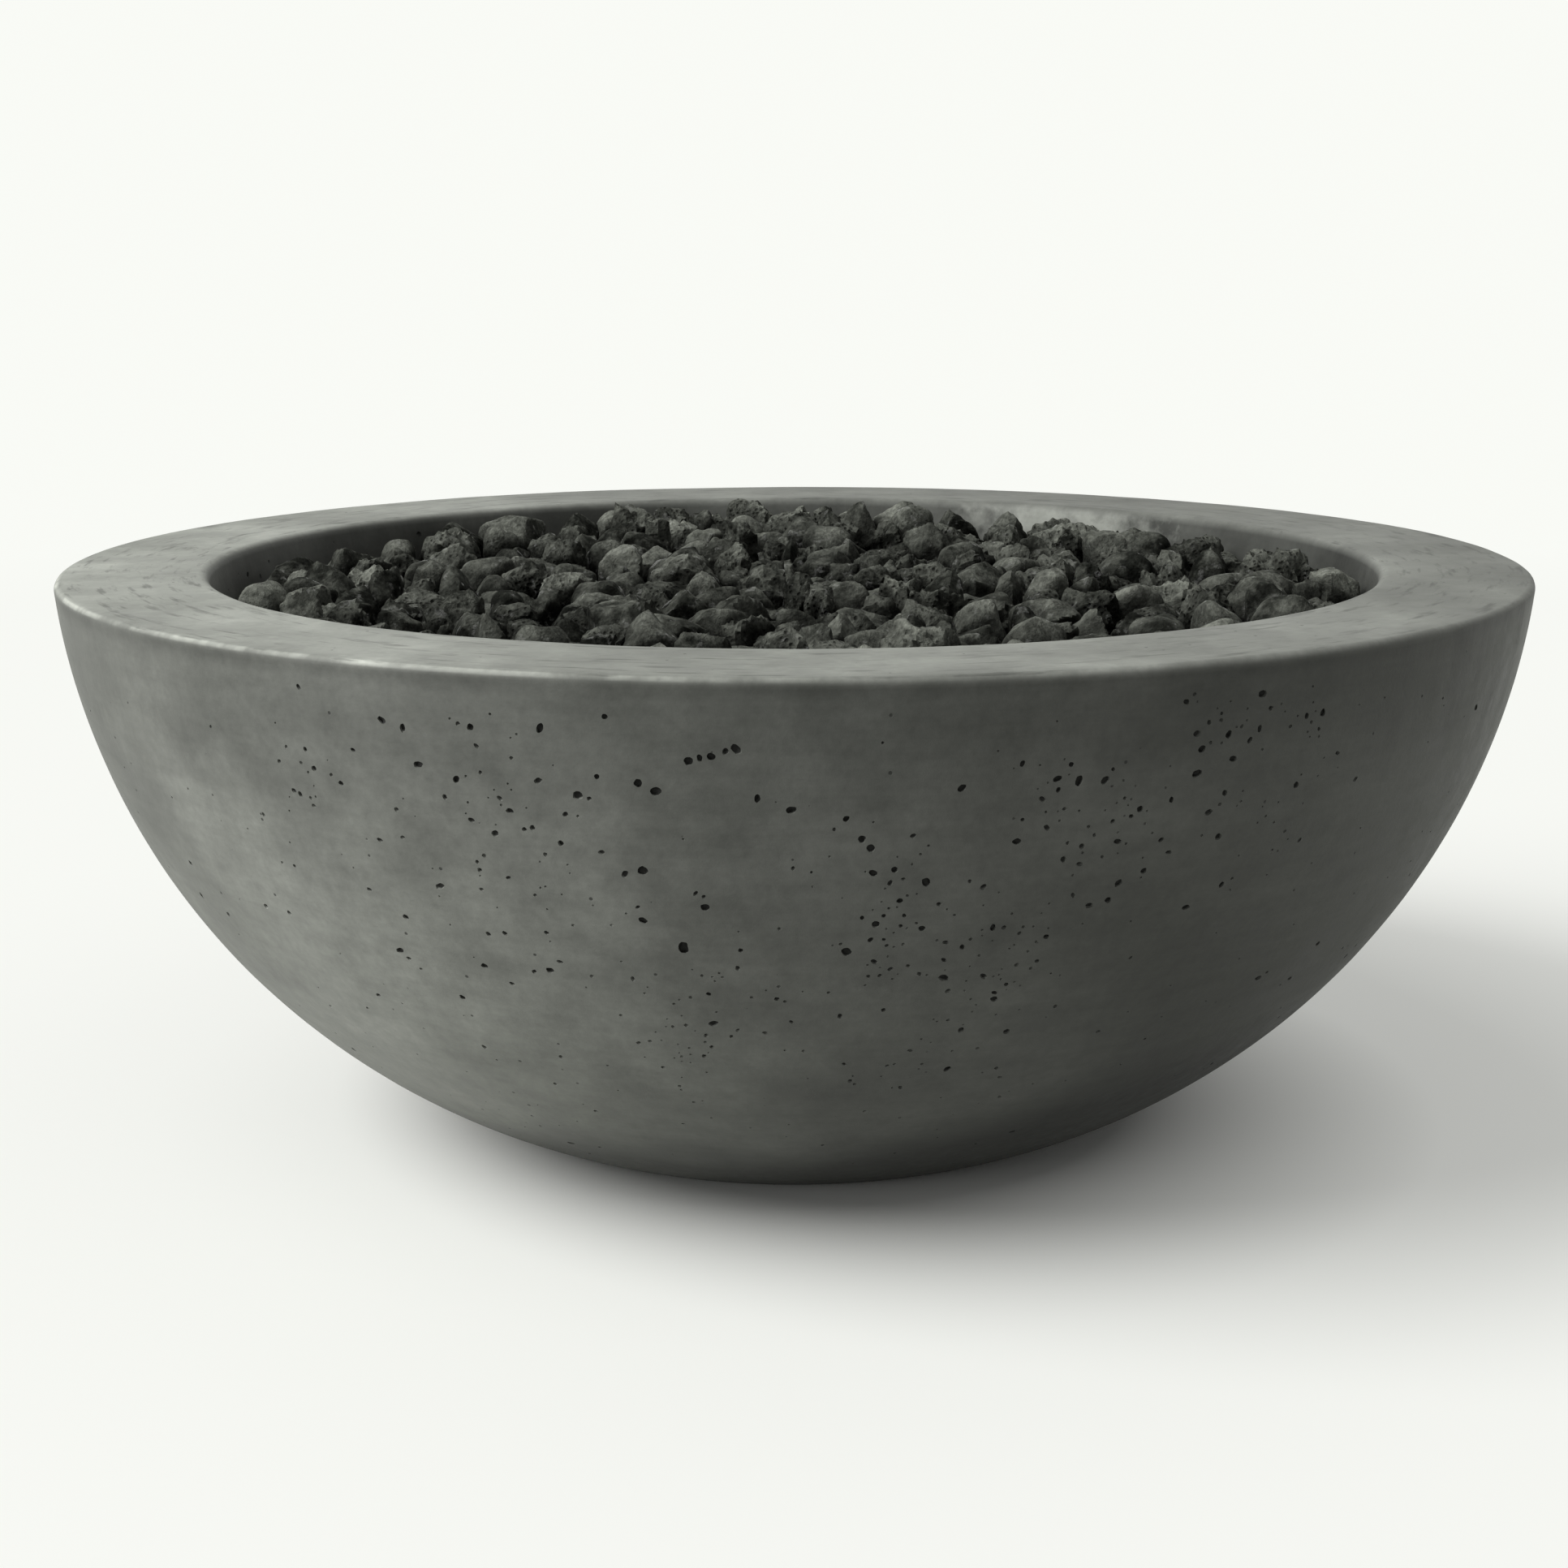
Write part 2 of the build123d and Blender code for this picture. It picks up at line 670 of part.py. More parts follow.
# Key: round shaft with a square socket over the stem and a cross bar
with BuildPart() as gas_key:
    with BuildSketch(wall_plane(square_start_y + seat_gap)):
        Circle(key_radius)
    extrude(amount=key_end_y - square_start_y - seat_gap)
    bar_plane = Plane(
        origin=(-key_bar_length / 2, key_end_y - key_bar_radius, valve_height),
        x_dir=(0, 1, 0),
        z_dir=(1, 0, 0),
    )
    with BuildSketch(bar_plane):
        Circle(key_bar_radius)
    extrude(amount=key_bar_length)
    bar_ends = gas_key.faces().sort_by(Axis.X)
    fillet(bar_ends[0].edges() + bar_ends[-1].edges(), radius=key_round)
    with BuildSketch(wall_plane(square_start_y + seat_gap)):
        Rectangle(stem_square + 2 * socket_gap, stem_square + 2 * socket_gap)
    extrude(amount=stem_square_length, mode=Mode.SUBTRACT)
gas_key.part.label = "gas_key"
export_step(gas_key.part, "parts/gas_key.step")

# Adapters: screw into the valve's ends and carry the flared hoses
adapter_end_x = half_body + valve_end_length + flare_length
with BuildPart() as valve_adapters:
    for side in (-1, 1):
        with BuildSketch(passage_plane(side * (seat_start + seat_length))):
            Circle(valve_bore_radius - seat_gap)
        extrude(amount=side * (half_body - seat_start - seat_length))
        with BuildSketch(passage_plane(side * half_body)):
            RegularPolygon(flare_nut_flats / 2, 6, major_radius=False)
        extrude(amount=side * valve_end_length)
        with BuildSketch(passage_plane(side * (half_body + valve_end_length))):
            Circle(flare_radius)
        extrude(amount=side * flare_length)
    with BuildSketch(passage_plane(-adapter_end_x)):
        Circle(gas_way_radius)
    extrude(amount=2 * adapter_end_x, mode=Mode.SUBTRACT)
valve_adapters.part.label = "valve_adapters"
export_step(valve_adapters.part, "parts/valve_adapters.step")

# Inlet bracket: strap across the base hole
with BuildPart() as inlet_bracket:
    with BuildSketch(Plane.XY.offset(floor_level)):
        RectangleRounded(bracket_length, bracket_width, bracket_corner)
        Circle(coupling_barrel_radius + seat_gap, mode=Mode.SUBTRACT)
        with GridLocations(screw_spacing_x, screw_spacing_y, 2, 2):
            Circle(screw_radius + seat_gap, mode=Mode.SUBTRACT)
    extrude(amount=bracket_thickness)
inlet_bracket.part.label = "inlet_bracket"
export_step(inlet_bracket.part, "parts/inlet_bracket.step")

# Screws of the bracket
with BuildPart() as bracket_screws:
    with BuildSketch(Plane.XY.offset(bracket_top_level)):
        with GridLocations(screw_spacing_x, screw_spacing_y, 2, 2):
            Circle(screw_head_radius)
    extrude(amount=screw_head_height)
    with BuildSketch(Plane.XY.offset(bracket_top_level)):
        with GridLocations(screw_spacing_x, screw_spacing_y, 2, 2):
            Circle(screw_radius)
    extrude(amount=-screw_length)
bracket_screws.part.label = "bracket_screws"
export_step(bracket_screws.part, "parts/bracket_screws.step")

# Inlet coupling: hexagon under the bracket, threaded for the supply pipe
with BuildPart() as inlet_coupling:
    with BuildSketch(Plane.XY.offset(coupling_low_level)):
        RegularPolygon(coupling_flats / 2, 6, major_radius=False)
    extrude(amount=coupling_drop)
    with BuildSketch(Plane.XY.offset(floor_level)):
        Circle(coupling_barrel_radius)
    extrude(amount=coupling_rise)
    with BuildSketch(Plane.XY.offset(coupling_low_level)):
        Circle(inlet_thread_radius)
    extrude(amount=inlet_thread_length, mode=Mode.SUBTRACT)
    with BuildSketch(Plane.XY.offset(coupling_low_level)):
        Circle(gas_way_radius)
    extrude(amount=coupling_drop + coupling_rise, mode=Mode.SUBTRACT)
inlet_coupling.part.label = "inlet_coupling"
export_step(inlet_coupling.part, "parts/inlet_coupling.step")

with BuildPart() as inlet_locknut:
    with BuildSketch(Plane.XY.offset(bracket_top_level)):
        RegularPolygon(inlet_nut_flats / 2, 6, major_radius=False)
        Circle(coupling_barrel_radius + seat_gap, mode=Mode.SUBTRACT)
    extrude(amount=inlet_nut_height)
inlet_locknut.part.label = "inlet_locknut"
export_step(inlet_locknut.part, "parts/inlet_locknut.step")

# Inlet elbow: turns the supply from the coupling to the hose, towards -X
with BuildPart() as inlet_elbow:
    with BuildSketch(Plane.XY.offset(inlet_elbow_low_level)):
        Circle(inlet_elbow_radius)
    extrude(amount=inlet_elbow_height)
    with BuildSketch(Plane.YZ):
        with Locations((0, inlet_arm_level)):
            Circle(elbow_arm_radius)
    extrude(amount=-elbow_arm_length)
    with BuildSketch(Plane.YZ.offset(-elbow_arm_length)):
        with Locations((0, inlet_arm_level)):
            Circle(flare_radius)
    extrude(amount=-flare_length)
    with BuildSketch(Plane.XY.offset(inlet_elbow_low_level)):
        Circle(coupling_barrel_radius + seat_gap)
    extrude(amount=coupling_top_level - inlet_elbow_low_level, mode=Mode.SUBTRACT)
    with BuildSketch(Plane.XY.offset(coupling_top_level)):
        Circle(gas_way_radius)
    extrude(amount=inlet_arm_level - coupling_top_level, mode=Mode.SUBTRACT)
    with BuildSketch(Plane.YZ):
        with Locations((0, inlet_arm_level)):
            Circle(gas_way_radius)
    extrude(amount=-(elbow_arm_length + flare_length), mode=Mode.SUBTRACT)
inlet_elbow.part.label = "inlet_elbow"
export_step(inlet_elbow.part, "parts/inlet_elbow.step")

# Hoses: metal tubes on straight runs and arcs, under the burner pan
hose_start_x = elbow_arm_length + flare_length
hose_side_x = cavity_radius - hose_wall_room
shoulder_x = hose_side_x - hose_shoulder_in
shoulder_y = valve_y - hose_shoulder_back
supply_route = [
    (-adapter_end_x, valve_y, valve_height),
    (-adapter_end_x - hose_valve_run, valve_y, valve_height),
    (-shoulder_x, shoulder_y, valve_height - supply_shoulder_drop),
    (-hose_side_x, hose_side_y, (valve_height + inlet_arm_level) / 2),
    (-hose_foot_x, hose_foot_y, inlet_arm_level + supply_foot_rise),
    (-hose_start_x - hose_end_run, 0, inlet_arm_level),
    (-hose_start_x, 0, inlet_arm_level),
]
burner_route = [
    (adapter_end_x, valve_y, valve_height),
    (adapter_end_x + hose_valve_run, valve_y, valve_height),
    (shoulder_x, shoulder_y, valve_height - burner_shoulder_drop),
    (hose_side_x, hose_side_y, valve_height - burner_side_drop),
    (hose_foot_x, hose_foot_y, burner_elbow_level - burner_foot_drop),
    (hose_start_x + hose_end_run, 0, burner_elbow_level),
    (hose_start_x, 0, burner_elbow_level),
]


def bend_radii(route):
    """Arc radius at each inner point of a route, as large as its runs allow."""
    points = [Vector(point) for point in route]
    radii = []
    for before, here, after in zip(points, points[1:], points[2:]):
        turn = math.radians((here - before).get_angle(after - here))
        shorter = min((here - before).length, (after - here).length)
        radii.append(hose_bend_share * shorter / math.tan(turn / 2))
    return radii


def hose_path(route):
    """Line of straight runs and tangent arcs through a route's points."""
    with BuildLine() as path:
        FilletPolyline(*route, radius=bend_radii(route))
    return path.wire()


supply_path = hose_path(supply_route)
burner_path = hose_path(burner_route)
print("supply hose bends", [round(radius, 1) for radius in bend_radii(supply_route)])
print("burner hose bends", [round(radius, 1) for radius in bend_radii(burner_route)])

with BuildPart() as supply_hose:
    with BuildSketch(Plane(origin=supply_route[0], z_dir=(-1, 0, 0))):
        Circle(hose_radius)
        Circle(hose_bore_radius, mode=Mode.SUBTRACT)
    sweep(path=supply_path)
supply_hose.part.label = "supply_hose"
export_step(supply_hose.part, "parts/supply_hose.step")

with BuildPart() as burner_hose:
    with BuildSketch(Plane(origin=burner_route[0], z_dir=(1, 0, 0))):
        Circle(hose_radius)
        Circle(hose_bore_radius, mode=Mode.SUBTRACT)
    sweep(path=burner_path)
burner_hose.part.label = "burner_hose"
export_step(burner_hose.part, "parts/burner_hose.step")

hose_section = math.pi * (hose_radius**2 - hose_bore_radius**2)
for hose, path in ((supply_hose, supply_path), (burner_hose, burner_path)):
    share = hose.part.volume / (hose_section * path.length)
    print(hose.part.label, "length", round(path.length, 1), "volume share", round(share, 4))

# Flare nuts: one over each end of the two hoses
nut_places = [
    ((-half_body - valve_end_length - flare_nut_set_back, valve_y, valve_height), -1),
    ((half_body + valve_end_length + flare_nut_set_back, valve_y, valve_height), 1),
    ((-elbow_arm_length - flare_nut_set_back, 0, inlet_arm_level), -1),
    ((elbow_arm_length + flare_nut_set_back, 0, burner_elbow_level), 1),
]
with BuildPart() as flare_nuts:
    for nut_origin, side in nut_places:
        with BuildSketch(Plane(origin=nut_origin, x_dir=(0, 1, 0), z_dir=(side, 0, 0))):
            RegularPolygon(flare_nut_flats / 2, 6, major_radius=False)
            Circle(flare_radius + seat_gap, mode=Mode.SUBTRACT)
        extrude(amount=flare_nut_length)
flare_nuts.part.label = "flare_nuts"
export_step(flare_nuts.part, "parts/flare_nuts.step")

# Granules: fine lava bed that fills the pan and covers the burner
wall_lean = math.atan2(basin_draft, ledge_depth)


def basin_radius_at(level):
    """Radius of the basin's leaning wall at a level."""
    return ledge_radius + (level - ledge_level) * math.tan(wall_lean)


channel_width = 2 * (ring_tube_radius + bed_gap)
spoke_channel_width = 2 * (spoke_radius + bed_gap)
with BuildPart() as lava_granules:
    with BuildSketch(Plane.XZ) as bed_section:
        with BuildLine():
            Polyline(
                (0, pan_inside_level + seat_gap),
                (pan_radius - pan_sheet - bed_gap, pan_inside_level + seat_gap),
                (pan_radius - pan_sheet - bed_gap, flange_top_level + seat_gap),
                (basin_radius_at(flange_top_level) - bed_gap, flange_top_level + seat_gap),
                (basin_radius_at(bed_level) - bed_gap, bed_level),
                (0, bed_level),
                close=True,
            )
        make_face()
        bed_corner = corner_of(bed_section, pan_radius - pan_sheet, pan_inside_level)
        fillet(bed_corner, radius=pan_bend + pan_sheet)
        # Channels around the burner's rings
        with Locations((outer_ring_radius, ring_level), (inner_ring_radius, ring_level)):
            Rectangle(channel_width, channel_width, mode=Mode.SUBTRACT)
    revolve(axis=Axis.Z)
    # Channels around the spokes, and room around the hub
    with Locations(*spoke_turns):
        Box(
            outer_ring_radius,
            spoke_channel_width,
            spoke_channel_width,
            align=(Align.MIN, Align.CENTER, Align.CENTER),
            mode=Mode.SUBTRACT,
        )
    with BuildSketch(Plane.XY.offset(pan_inside_level)):
        Circle(hub_radius + bed_gap)
    extrude(amount=hub_height + bed_gap, mode=Mode.SUBTRACT)
lava_granules.part.label = "lava_granules"
export_step(lava_granules.part, "parts/lava_granules.step")

# Lava rocks: loose lumps packed side by side on the granules
rock_field_radius = basin_radius_at(bed_level + rock_centre_lift)
rock_seed_radius = rock_field_radius - rock_wall_clearance
rock_count = round(math.pi * rock_field_radius**2 / (rock_packing * rock_pitch**2))
golden_turn = math.pi * (3 - math.sqrt(5))


def rock_top_limit(x, y, half_width):
    """Level that a rock stays below: the flame's, or the rim's near the wall."""
    reach = max(abs(x), abs(y)) - half_width * rock_long_high
    return overall_height if reach > flame_half_width else flame_level


def rock_centre(index):
    """Middle and half width of one rock, on a spiral with a little scatter."""
    chance = random.Random(rock_seed + index)
    radial = rock_seed_radius * math.sqrt((index + 0.5) / rock_count)
    angle = index * golden_turn
    x = radial * math.cos(angle) + chance.uniform(-rock_scatter, rock_scatter)
    y = radial * math.sin(angle) + chance.uniform(-rock_scatter, rock_scatter)
    spread = math.hypot(x, y)
    if spread > rock_seed_radius:
        x *= rock_seed_radius / spread
        y *= rock_seed_radius / spread
    lift = rock_centre_lift + chance.uniform(-rock_lift_scatter, rock_lift_scatter)
    half_width = chance.uniform(rock_half_width_low, rock_half_width_high)
    if rock_top_limit(x, y, half_width) > flame_level:
        lift += rock_edge_rise
    return (x, y, bed_level + lift, half_width)


def even_directions(count, chance):
    """Unit vectors spread evenly over a sphere, from a random start."""
    start = chance.uniform(0, 2 * math.pi)
    directions = []
    for step in range(count):
        height = 1 - 2 * (step + 0.5) / count
        width = math.sqrt(1 - height**2)
        angle = start + step * golden_turn
        directions.append((width * math.cos(angle), width * math.sin(angle), height))
    return np.array(directions)


def rock_limits(index, centres):
    """Half spaces (normal, offset) that bound one rock."""
    chance = random.Random(rock_seed * rock_seed + index)
    here = centres[index]
    middle = here[:3]
    limits = []
    # Plane between this rock and each near one, moved by the wider rock's share
    for other in centres:
        apart = other[:3] - middle
        distance = np.linalg.norm(apart)
        if 0 < distance < rock_neighbour_pitches * rock_pitch:
            share = (distance**2 + here[3] ** 2 - other[3] ** 2) / (2 * distance)
            least = rock_least_share * distance
            share = min(max(share, least), distance - least)
            normal = apart / distance
            limits.append([*normal, -(normal @ middle + share - rock_gap / 2)])
    # Facets around an oval body that reaches down to the granules
    half_height = chance.uniform(rock_half_height_low, rock_half_height_high)
    half_height = max(half_height, middle[2] - bed_level)
    long_turn = chance.uniform(0, math.pi)
    long_half = here[3] * chance.uniform(rock_long_low, rock_long_high)
    short_half = here[3] * chance.uniform(rock_short_low, rock_short_high)
    turned = np.array([math.cos(long_turn), math.sin(long_turn), 0])
    across = np.array([-math.sin(long_turn), math.cos(long_turn), 0])
    for normal in even_directions(rock_facets, chance):
        along = long_half * (normal @ turned)
        over = short_half * (normal @ across)
        reach = math.sqrt(along**2 + over**2 + (half_height * normal[2]) ** 2)
        if normal[2] > 0:
            reach *= chance.uniform(rock_facet_low, rock_facet_high)
        limits.append([*normal, -(normal @ middle + reach)])
    # The granules below, the flame or the rim above, and the basin's wall beside it
    limits.append([0, 0, -1, bed_level + seat_gap])
    limits.append([0, 0, 1, seat_gap - rock_top_limit(middle[0], middle[1], here[3])])
    angle = math.atan2(middle[1], middle[0])
    out = np.array([math.cos(angle), math.sin(angle), 0]) * math.cos(wall_lean)
    out[2] = -math.sin(wall_lean)
    chord = math.sqrt(ledge_radius**2 - (rock_wall_span * rock_half_width_high) ** 2)
    foot = np.array([chord * math.cos(angle), chord * math.sin(angle), ledge_level])
    limits.append([*out, -(out @ foot - seat_gap)])
    return np.array(limits)


def merged_corners(corners):
    """Corners of a rock, with those closer than the least edge drawn together."""
    kept = []
    for corner in corners:
        for group in kept:
            if np.linalg.norm(np.mean(group, axis=0) - corner) < rock_least_edge:
                group.append(corner)
                break
        else:
            kept.append([corner])
    return [tuple(np.mean(group, axis=0)) for group in kept]


rock_centres = np.array([rock_centre(index) for index in range(rock_count)])
for ring in range(rock_ring_count):
    first = round(ring * rock_count / rock_ring_count)
    last = round((ring + 1) * rock_count / rock_ring_count)
    with BuildPart() as lava_rocks:
        ring_rocks = []
        for index in range(first, last):
            limits = rock_limits(index, rock_centres)
            cell = HalfspaceIntersection(limits, rock_centres[index][:3])
            corners = merged_corners(cell.intersections)
            ring_rocks.append(ConvexPolyhedron(corners, mode=Mode.PRIVATE))
        add(ring_rocks)
    lava_rocks.part.label = f"lava_rocks_ring_{ring + 1}"
    export_step(lava_rocks.part, f"parts/{lava_rocks.part.label}.step")
print("lava rocks", rock_count)
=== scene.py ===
import json
import math
import random

import bmesh
import bpy
from mathutils import Matrix, Vector, noise
from mathutils.bvhtree import BVHTree


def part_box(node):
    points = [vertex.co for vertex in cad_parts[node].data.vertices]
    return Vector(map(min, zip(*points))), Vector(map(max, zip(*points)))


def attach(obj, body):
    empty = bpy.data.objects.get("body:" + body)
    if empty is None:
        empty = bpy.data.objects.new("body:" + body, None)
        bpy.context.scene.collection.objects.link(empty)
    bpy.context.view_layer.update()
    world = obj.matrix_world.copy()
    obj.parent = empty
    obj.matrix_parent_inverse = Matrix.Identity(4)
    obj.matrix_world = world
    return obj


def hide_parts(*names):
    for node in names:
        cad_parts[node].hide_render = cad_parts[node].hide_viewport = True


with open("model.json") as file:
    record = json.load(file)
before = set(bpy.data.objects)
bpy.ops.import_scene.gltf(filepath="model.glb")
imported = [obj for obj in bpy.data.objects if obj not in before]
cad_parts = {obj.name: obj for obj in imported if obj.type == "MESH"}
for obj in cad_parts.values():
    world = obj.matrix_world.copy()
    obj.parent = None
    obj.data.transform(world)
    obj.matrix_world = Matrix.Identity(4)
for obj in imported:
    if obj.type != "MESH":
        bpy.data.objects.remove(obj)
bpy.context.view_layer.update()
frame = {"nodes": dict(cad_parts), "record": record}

# Bowl section, in metres
rim_radius = 0.457
overall_height = 0.355
outer_arc_radius = 0.415
arc_centre_above_rim = 0.036
shell_wall = 0.045
base_level = 0.002
floor_level = 0.060
base_hole_radius = 0.045
opening_radius = 0.366
ledge_radius = 0.354
ledge_level = 0.290
cavity_radius = 0.312
rim_outer_round = 0.004
rim_inner_round = 0.007
base_round = 0.010
ledge_round = 0.005
hole_round = 0.003
round_steps = 6
outer_levels = 80
inner_levels = 20
bowl_segments = 320
arc_level = overall_height + arc_centre_above_rim
arc_radial = rim_radius - math.sqrt(outer_arc_radius**2 - arc_centre_above_rim**2)

# Holes and pockets in the casting
pad_pocket_radius = 0.0203
pad_circle_radius = 0.138
pad_pocket_top = 0.005
pad_count = 6
valve_height = 0.190
wall_bore_radius = 0.014
wall_bore_end = 0.44
wall_spot_radius = 0.023
wall_spot_start = 0.304
wall_spot_end = 0.313
recess_radius = 0.034
recess_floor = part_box("valve_flange")[0].y
recess_end = 0.48
screw_hole_radius = 0.0028
screw_hole_depth = 0.0233
screw_places = [(x, y) for x in (-0.062, 0.062) for y in (-0.014, 0.014)]
cut_overlap = 0.01
valve_clear_place = Vector((0, 0.40, valve_height))
valve_clear_reach = 0.055

# Photograph and camera
photo_side = 1932
camera_place = (0.0, -1.6745, 0.5639)
camera_yaw = 0.00382
camera_pitch = math.pi / 2 - 0.21026
camera_roll = -0.00178
camera_lens = 60.40
camera_sensor = 36.0

# Air holes that the photograph shows plainly: pixel across, pixel down, width in mm
seen_pits = [
    (792, 1073, 5.2), (770, 1077, 3.2), (842, 1168, 5.6), (1043, 1173, 5.0), (712, 980, 4.6), (726, 984, 2.4),
    (808, 975, 4.8), (735, 957, 3.0), (848, 938, 4.6), (862, 934, 3.0), (876, 932, 4.2), (894, 926, 3.0),
    (907, 923, 4.2),
]
# Middling and small air holes that the photograph shows: pixel across, pixel down
middling_pits = [
    (470, 887), (496, 897), (665, 897), (745, 883), (515, 942), (524, 948), (387, 947), (562, 960),
    (628, 999), (610, 1027), (691, 1039), (663, 962), (737, 955), (786, 965), (933, 984), (1043, 1009),
    (1062, 1034), (1073, 1045), (1076, 1076), (1102, 1072), (1141, 1087), (1109, 1110), (1079, 1139),
    (1136, 1144), (1212, 1093), (1223, 1143), (1289, 1154), (1163, 1205), (1212, 1203), (1225, 1231),
    (1240, 1271), (1184, 1269), (1253, 1037), (1310, 1059), (1333, 1043), (1377, 1037), (1405, 997),
    (1409, 1073), (1342, 1116), (1365, 1109), (1378, 1088), (1461, 1118), (1330, 962), (1362, 961),
    (1303, 960), (1185, 971), (1475, 904), (1481, 923), (1514, 905), (1519, 935), (1475, 953),
    (1509, 977), (1489, 1001), (1501, 1031), (1505, 1090), (1597, 967), (1610, 882), (1630, 878),
    (1556, 855), (792, 1134), (869, 1118), (500, 1130), (493, 1171), (597, 1190), (570, 1229),
    (542, 1092), (879, 1261), (1167, 1317), (1550, 1205), (975, 998),
]
little_pits = [
    (592, 952), (548, 982), (646, 1022), (656, 1020), (741, 1050), (672, 1053), (978, 990),
    (1097, 1088), (1113, 1083), (1062, 1131), (1110, 1141), (1256, 1150), (1261, 1142), (1237, 1143),
    (1070, 1203), (1084, 1202), (1097, 1194), (1077, 1185), (1119, 1190), (1133, 1200), (1163, 1183),
    (1168, 1221), (1240, 1213), (1330, 1065), (1384, 1030), (1371, 1012), (1322, 1103), (1260, 941),
    (1320, 942), (1503, 991), (867, 1105), (857, 1101), (786, 1118), (455, 1096), (591, 1072),
    (588, 1062), (348, 1063), (363, 1067), (344, 938), (376, 923), (420, 965), (468, 1035), (496, 1032),
    (602, 1151), (504, 1181), (519, 1194), (597, 1290), (631, 1212), (691, 1302), (787, 1285),
    (801, 1283), (870, 1276), (869, 1284), (957, 1231), (967, 1234), (926, 1229), (975, 1259),
    (990, 1295), (1040, 1311), (1093, 1313), (1136, 1311), (1393, 1180), (1561, 1198), (1353, 1271),
    (1021, 1223), (1035, 1252), (909, 1193), (851, 1229), (387, 993), (435, 924), (587, 919),
    (630, 934), (622, 1150), (466, 1226), (690, 1185), (806, 1287), (829, 1265), (840, 1302),
    (817, 1315), (855, 1358), (734, 1369), (765, 1251), (1590, 895), (1540, 912), (1648, 928),
    (1625, 898), (1670, 960), (1530, 895), (1490, 890), (1462, 865), (1552, 898), (1157, 1114),
    (1195, 1086), (1300, 1240), (1260, 1010), (1290, 1020), (1125, 1030), (1440, 1050),
]
middling_pit, little_pit = 0.0037, 0.0025
# Clusters of the smallest air holes: pixel across, pixel down, spread in pixels, how many
pit_clusters = [
    (1500, 900, 40, 22), (1615, 888, 32, 14), (1395, 990, 46, 22), (1110, 1095, 52, 24),
    (1095, 1165, 52, 22), (1250, 1150, 60, 22), (1210, 1210, 50, 18), (840, 1290, 62, 34),
    (380, 960, 55, 14), (600, 980, 75, 18), (1370, 1030, 50, 20), (1290, 960, 50, 14),
    (1120, 1290, 70, 18), (900, 1200, 80, 20), (660, 1120, 90, 18), (1560, 1000, 60, 14),
]
pit_seed = 7
scattered_pits = 520
basin_pits = 70
rear_clusters = 32
rear_overlap = 0.25
rear_cluster_count = (5, 16)
rear_cluster_spread = 0.024
pit_gap = 0.0012
pit_lowest, pit_highest, seen_pit_highest = 0.03, 0.335, 0.343
scattered_drop = 0.30
basin_pit_levels = (0.318, 0.344)
rear_cluster_levels = (0.07, 0.32)
round_pit_width, long_pit_width = 0.0019, 0.0022
# Widths drawn for air holes: the least, the usual addition and the most that is added
cluster_widths, scattered_widths = (0.0012, 0.0005, 0.0016), (0.0011, 0.0006, 0.0030)
basin_widths, rear_widths = (0.0011, 0.0007, 0.0030), (0.0014, 0.0011, 0.0036)

# Lava rocks
rock_ring_nodes = [f"lava_rocks_ring_{ring}" for ring in range(1, 7)]
rock_cuts = 14
rock_seed = 41
rock_kinds = ["cobble", "broken", "broken", "clinker", "clinker", "clinker", "broken"]
rock_edges = {"cobble": (6.0, 11.0), "broken": (40.0, 70.0), "clinker": (12.0, 26.0)}
rock_swell = (0.90, 1.02)
rock_dents = {"cobble": (0, 1), "broken": (1, 2), "clinker": (3, 6)}
dent_edges, dent_depths = (0.72, 0.93), (0.0025, 0.0075)
break_counts, break_depths = (7, 11), (0.74, 0.92)
rock_top_spread = (-0.013, 0.004)
rock_back_spread = (-0.003, 0.006)
skyline_start = 0.20
rock_slim = (0.74, 0.98)
rock_top_stretch = 1.15
rock_top_lift = 0.009
bed_level = 0.300
bed_reach = 0.345
small_rock_tries = 1500
small_rock_count = 80
small_rock_half = (0.0055, 0.0115)
small_rock_relief = 0.4
valley_depth = 0.006
valley_reach = 0.014
chip_count = 300
chip_half = (0.004, 0.0085)
chip_clearance = 0.015
six_ways = [Vector(way) for way in ((1, 0, 0), (-1, 0, 0), (0, 1, 0), (0, -1, 0), (0, 0, 1), (0, 0, -1))]

# Colours, as linear light
concrete_grey = (0.172, 0.178, 0.160, 1.0)
concrete_dark = (0.124, 0.129, 0.115, 1.0)
concrete_pale = (0.212, 0.219, 0.198, 1.0)
# Painted shade for the pinholes
pinhole_painted_shade = (0.028, 0.029, 0.026, 1.0)
lava_dark = (0.014, 0.015, 0.0125, 1.0)
lava_pale = (0.262, 0.274, 0.236, 1.0)
gravel_dark, gravel_pale = (0.010, 0.010, 0.009, 1), (0.042, 0.043, 0.039, 1)
# Painted shade deep between the stones and on their flanks
lava_painted_deep_shade = 0.03
lava_painted_flank_shade = 0.32
lava_glass_gloss, lava_dull_gloss = 0.50, 0.02
backdrop_white = (0.948, 0.960, 0.918, 1.0)
floor_white = (0.975, 0.985, 0.945, 1.0)
floor_bounce = (0.22, 0.22, 0.21, 1.0)

# Tones of the casting, as factors on its colour, and where they start and end
soot_low, soot_high = 0.30, 0.62
# Basin wall tones: paler at the left and back, darker on the right
basin_left_tone, basin_back_tone, basin_right_tone = 1.20, 1.35, 0.50
basin_left_places, basin_right_places = (-0.32, -0.14), (0.20, 0.34)
# Paler area low on the left flank: partly a real paler patch, partly painted light from the left
flank_place = Vector((-0.20, -0.29, 0.105))
flank_tone = 2.1
flank_reach = (0.05, 0.25)
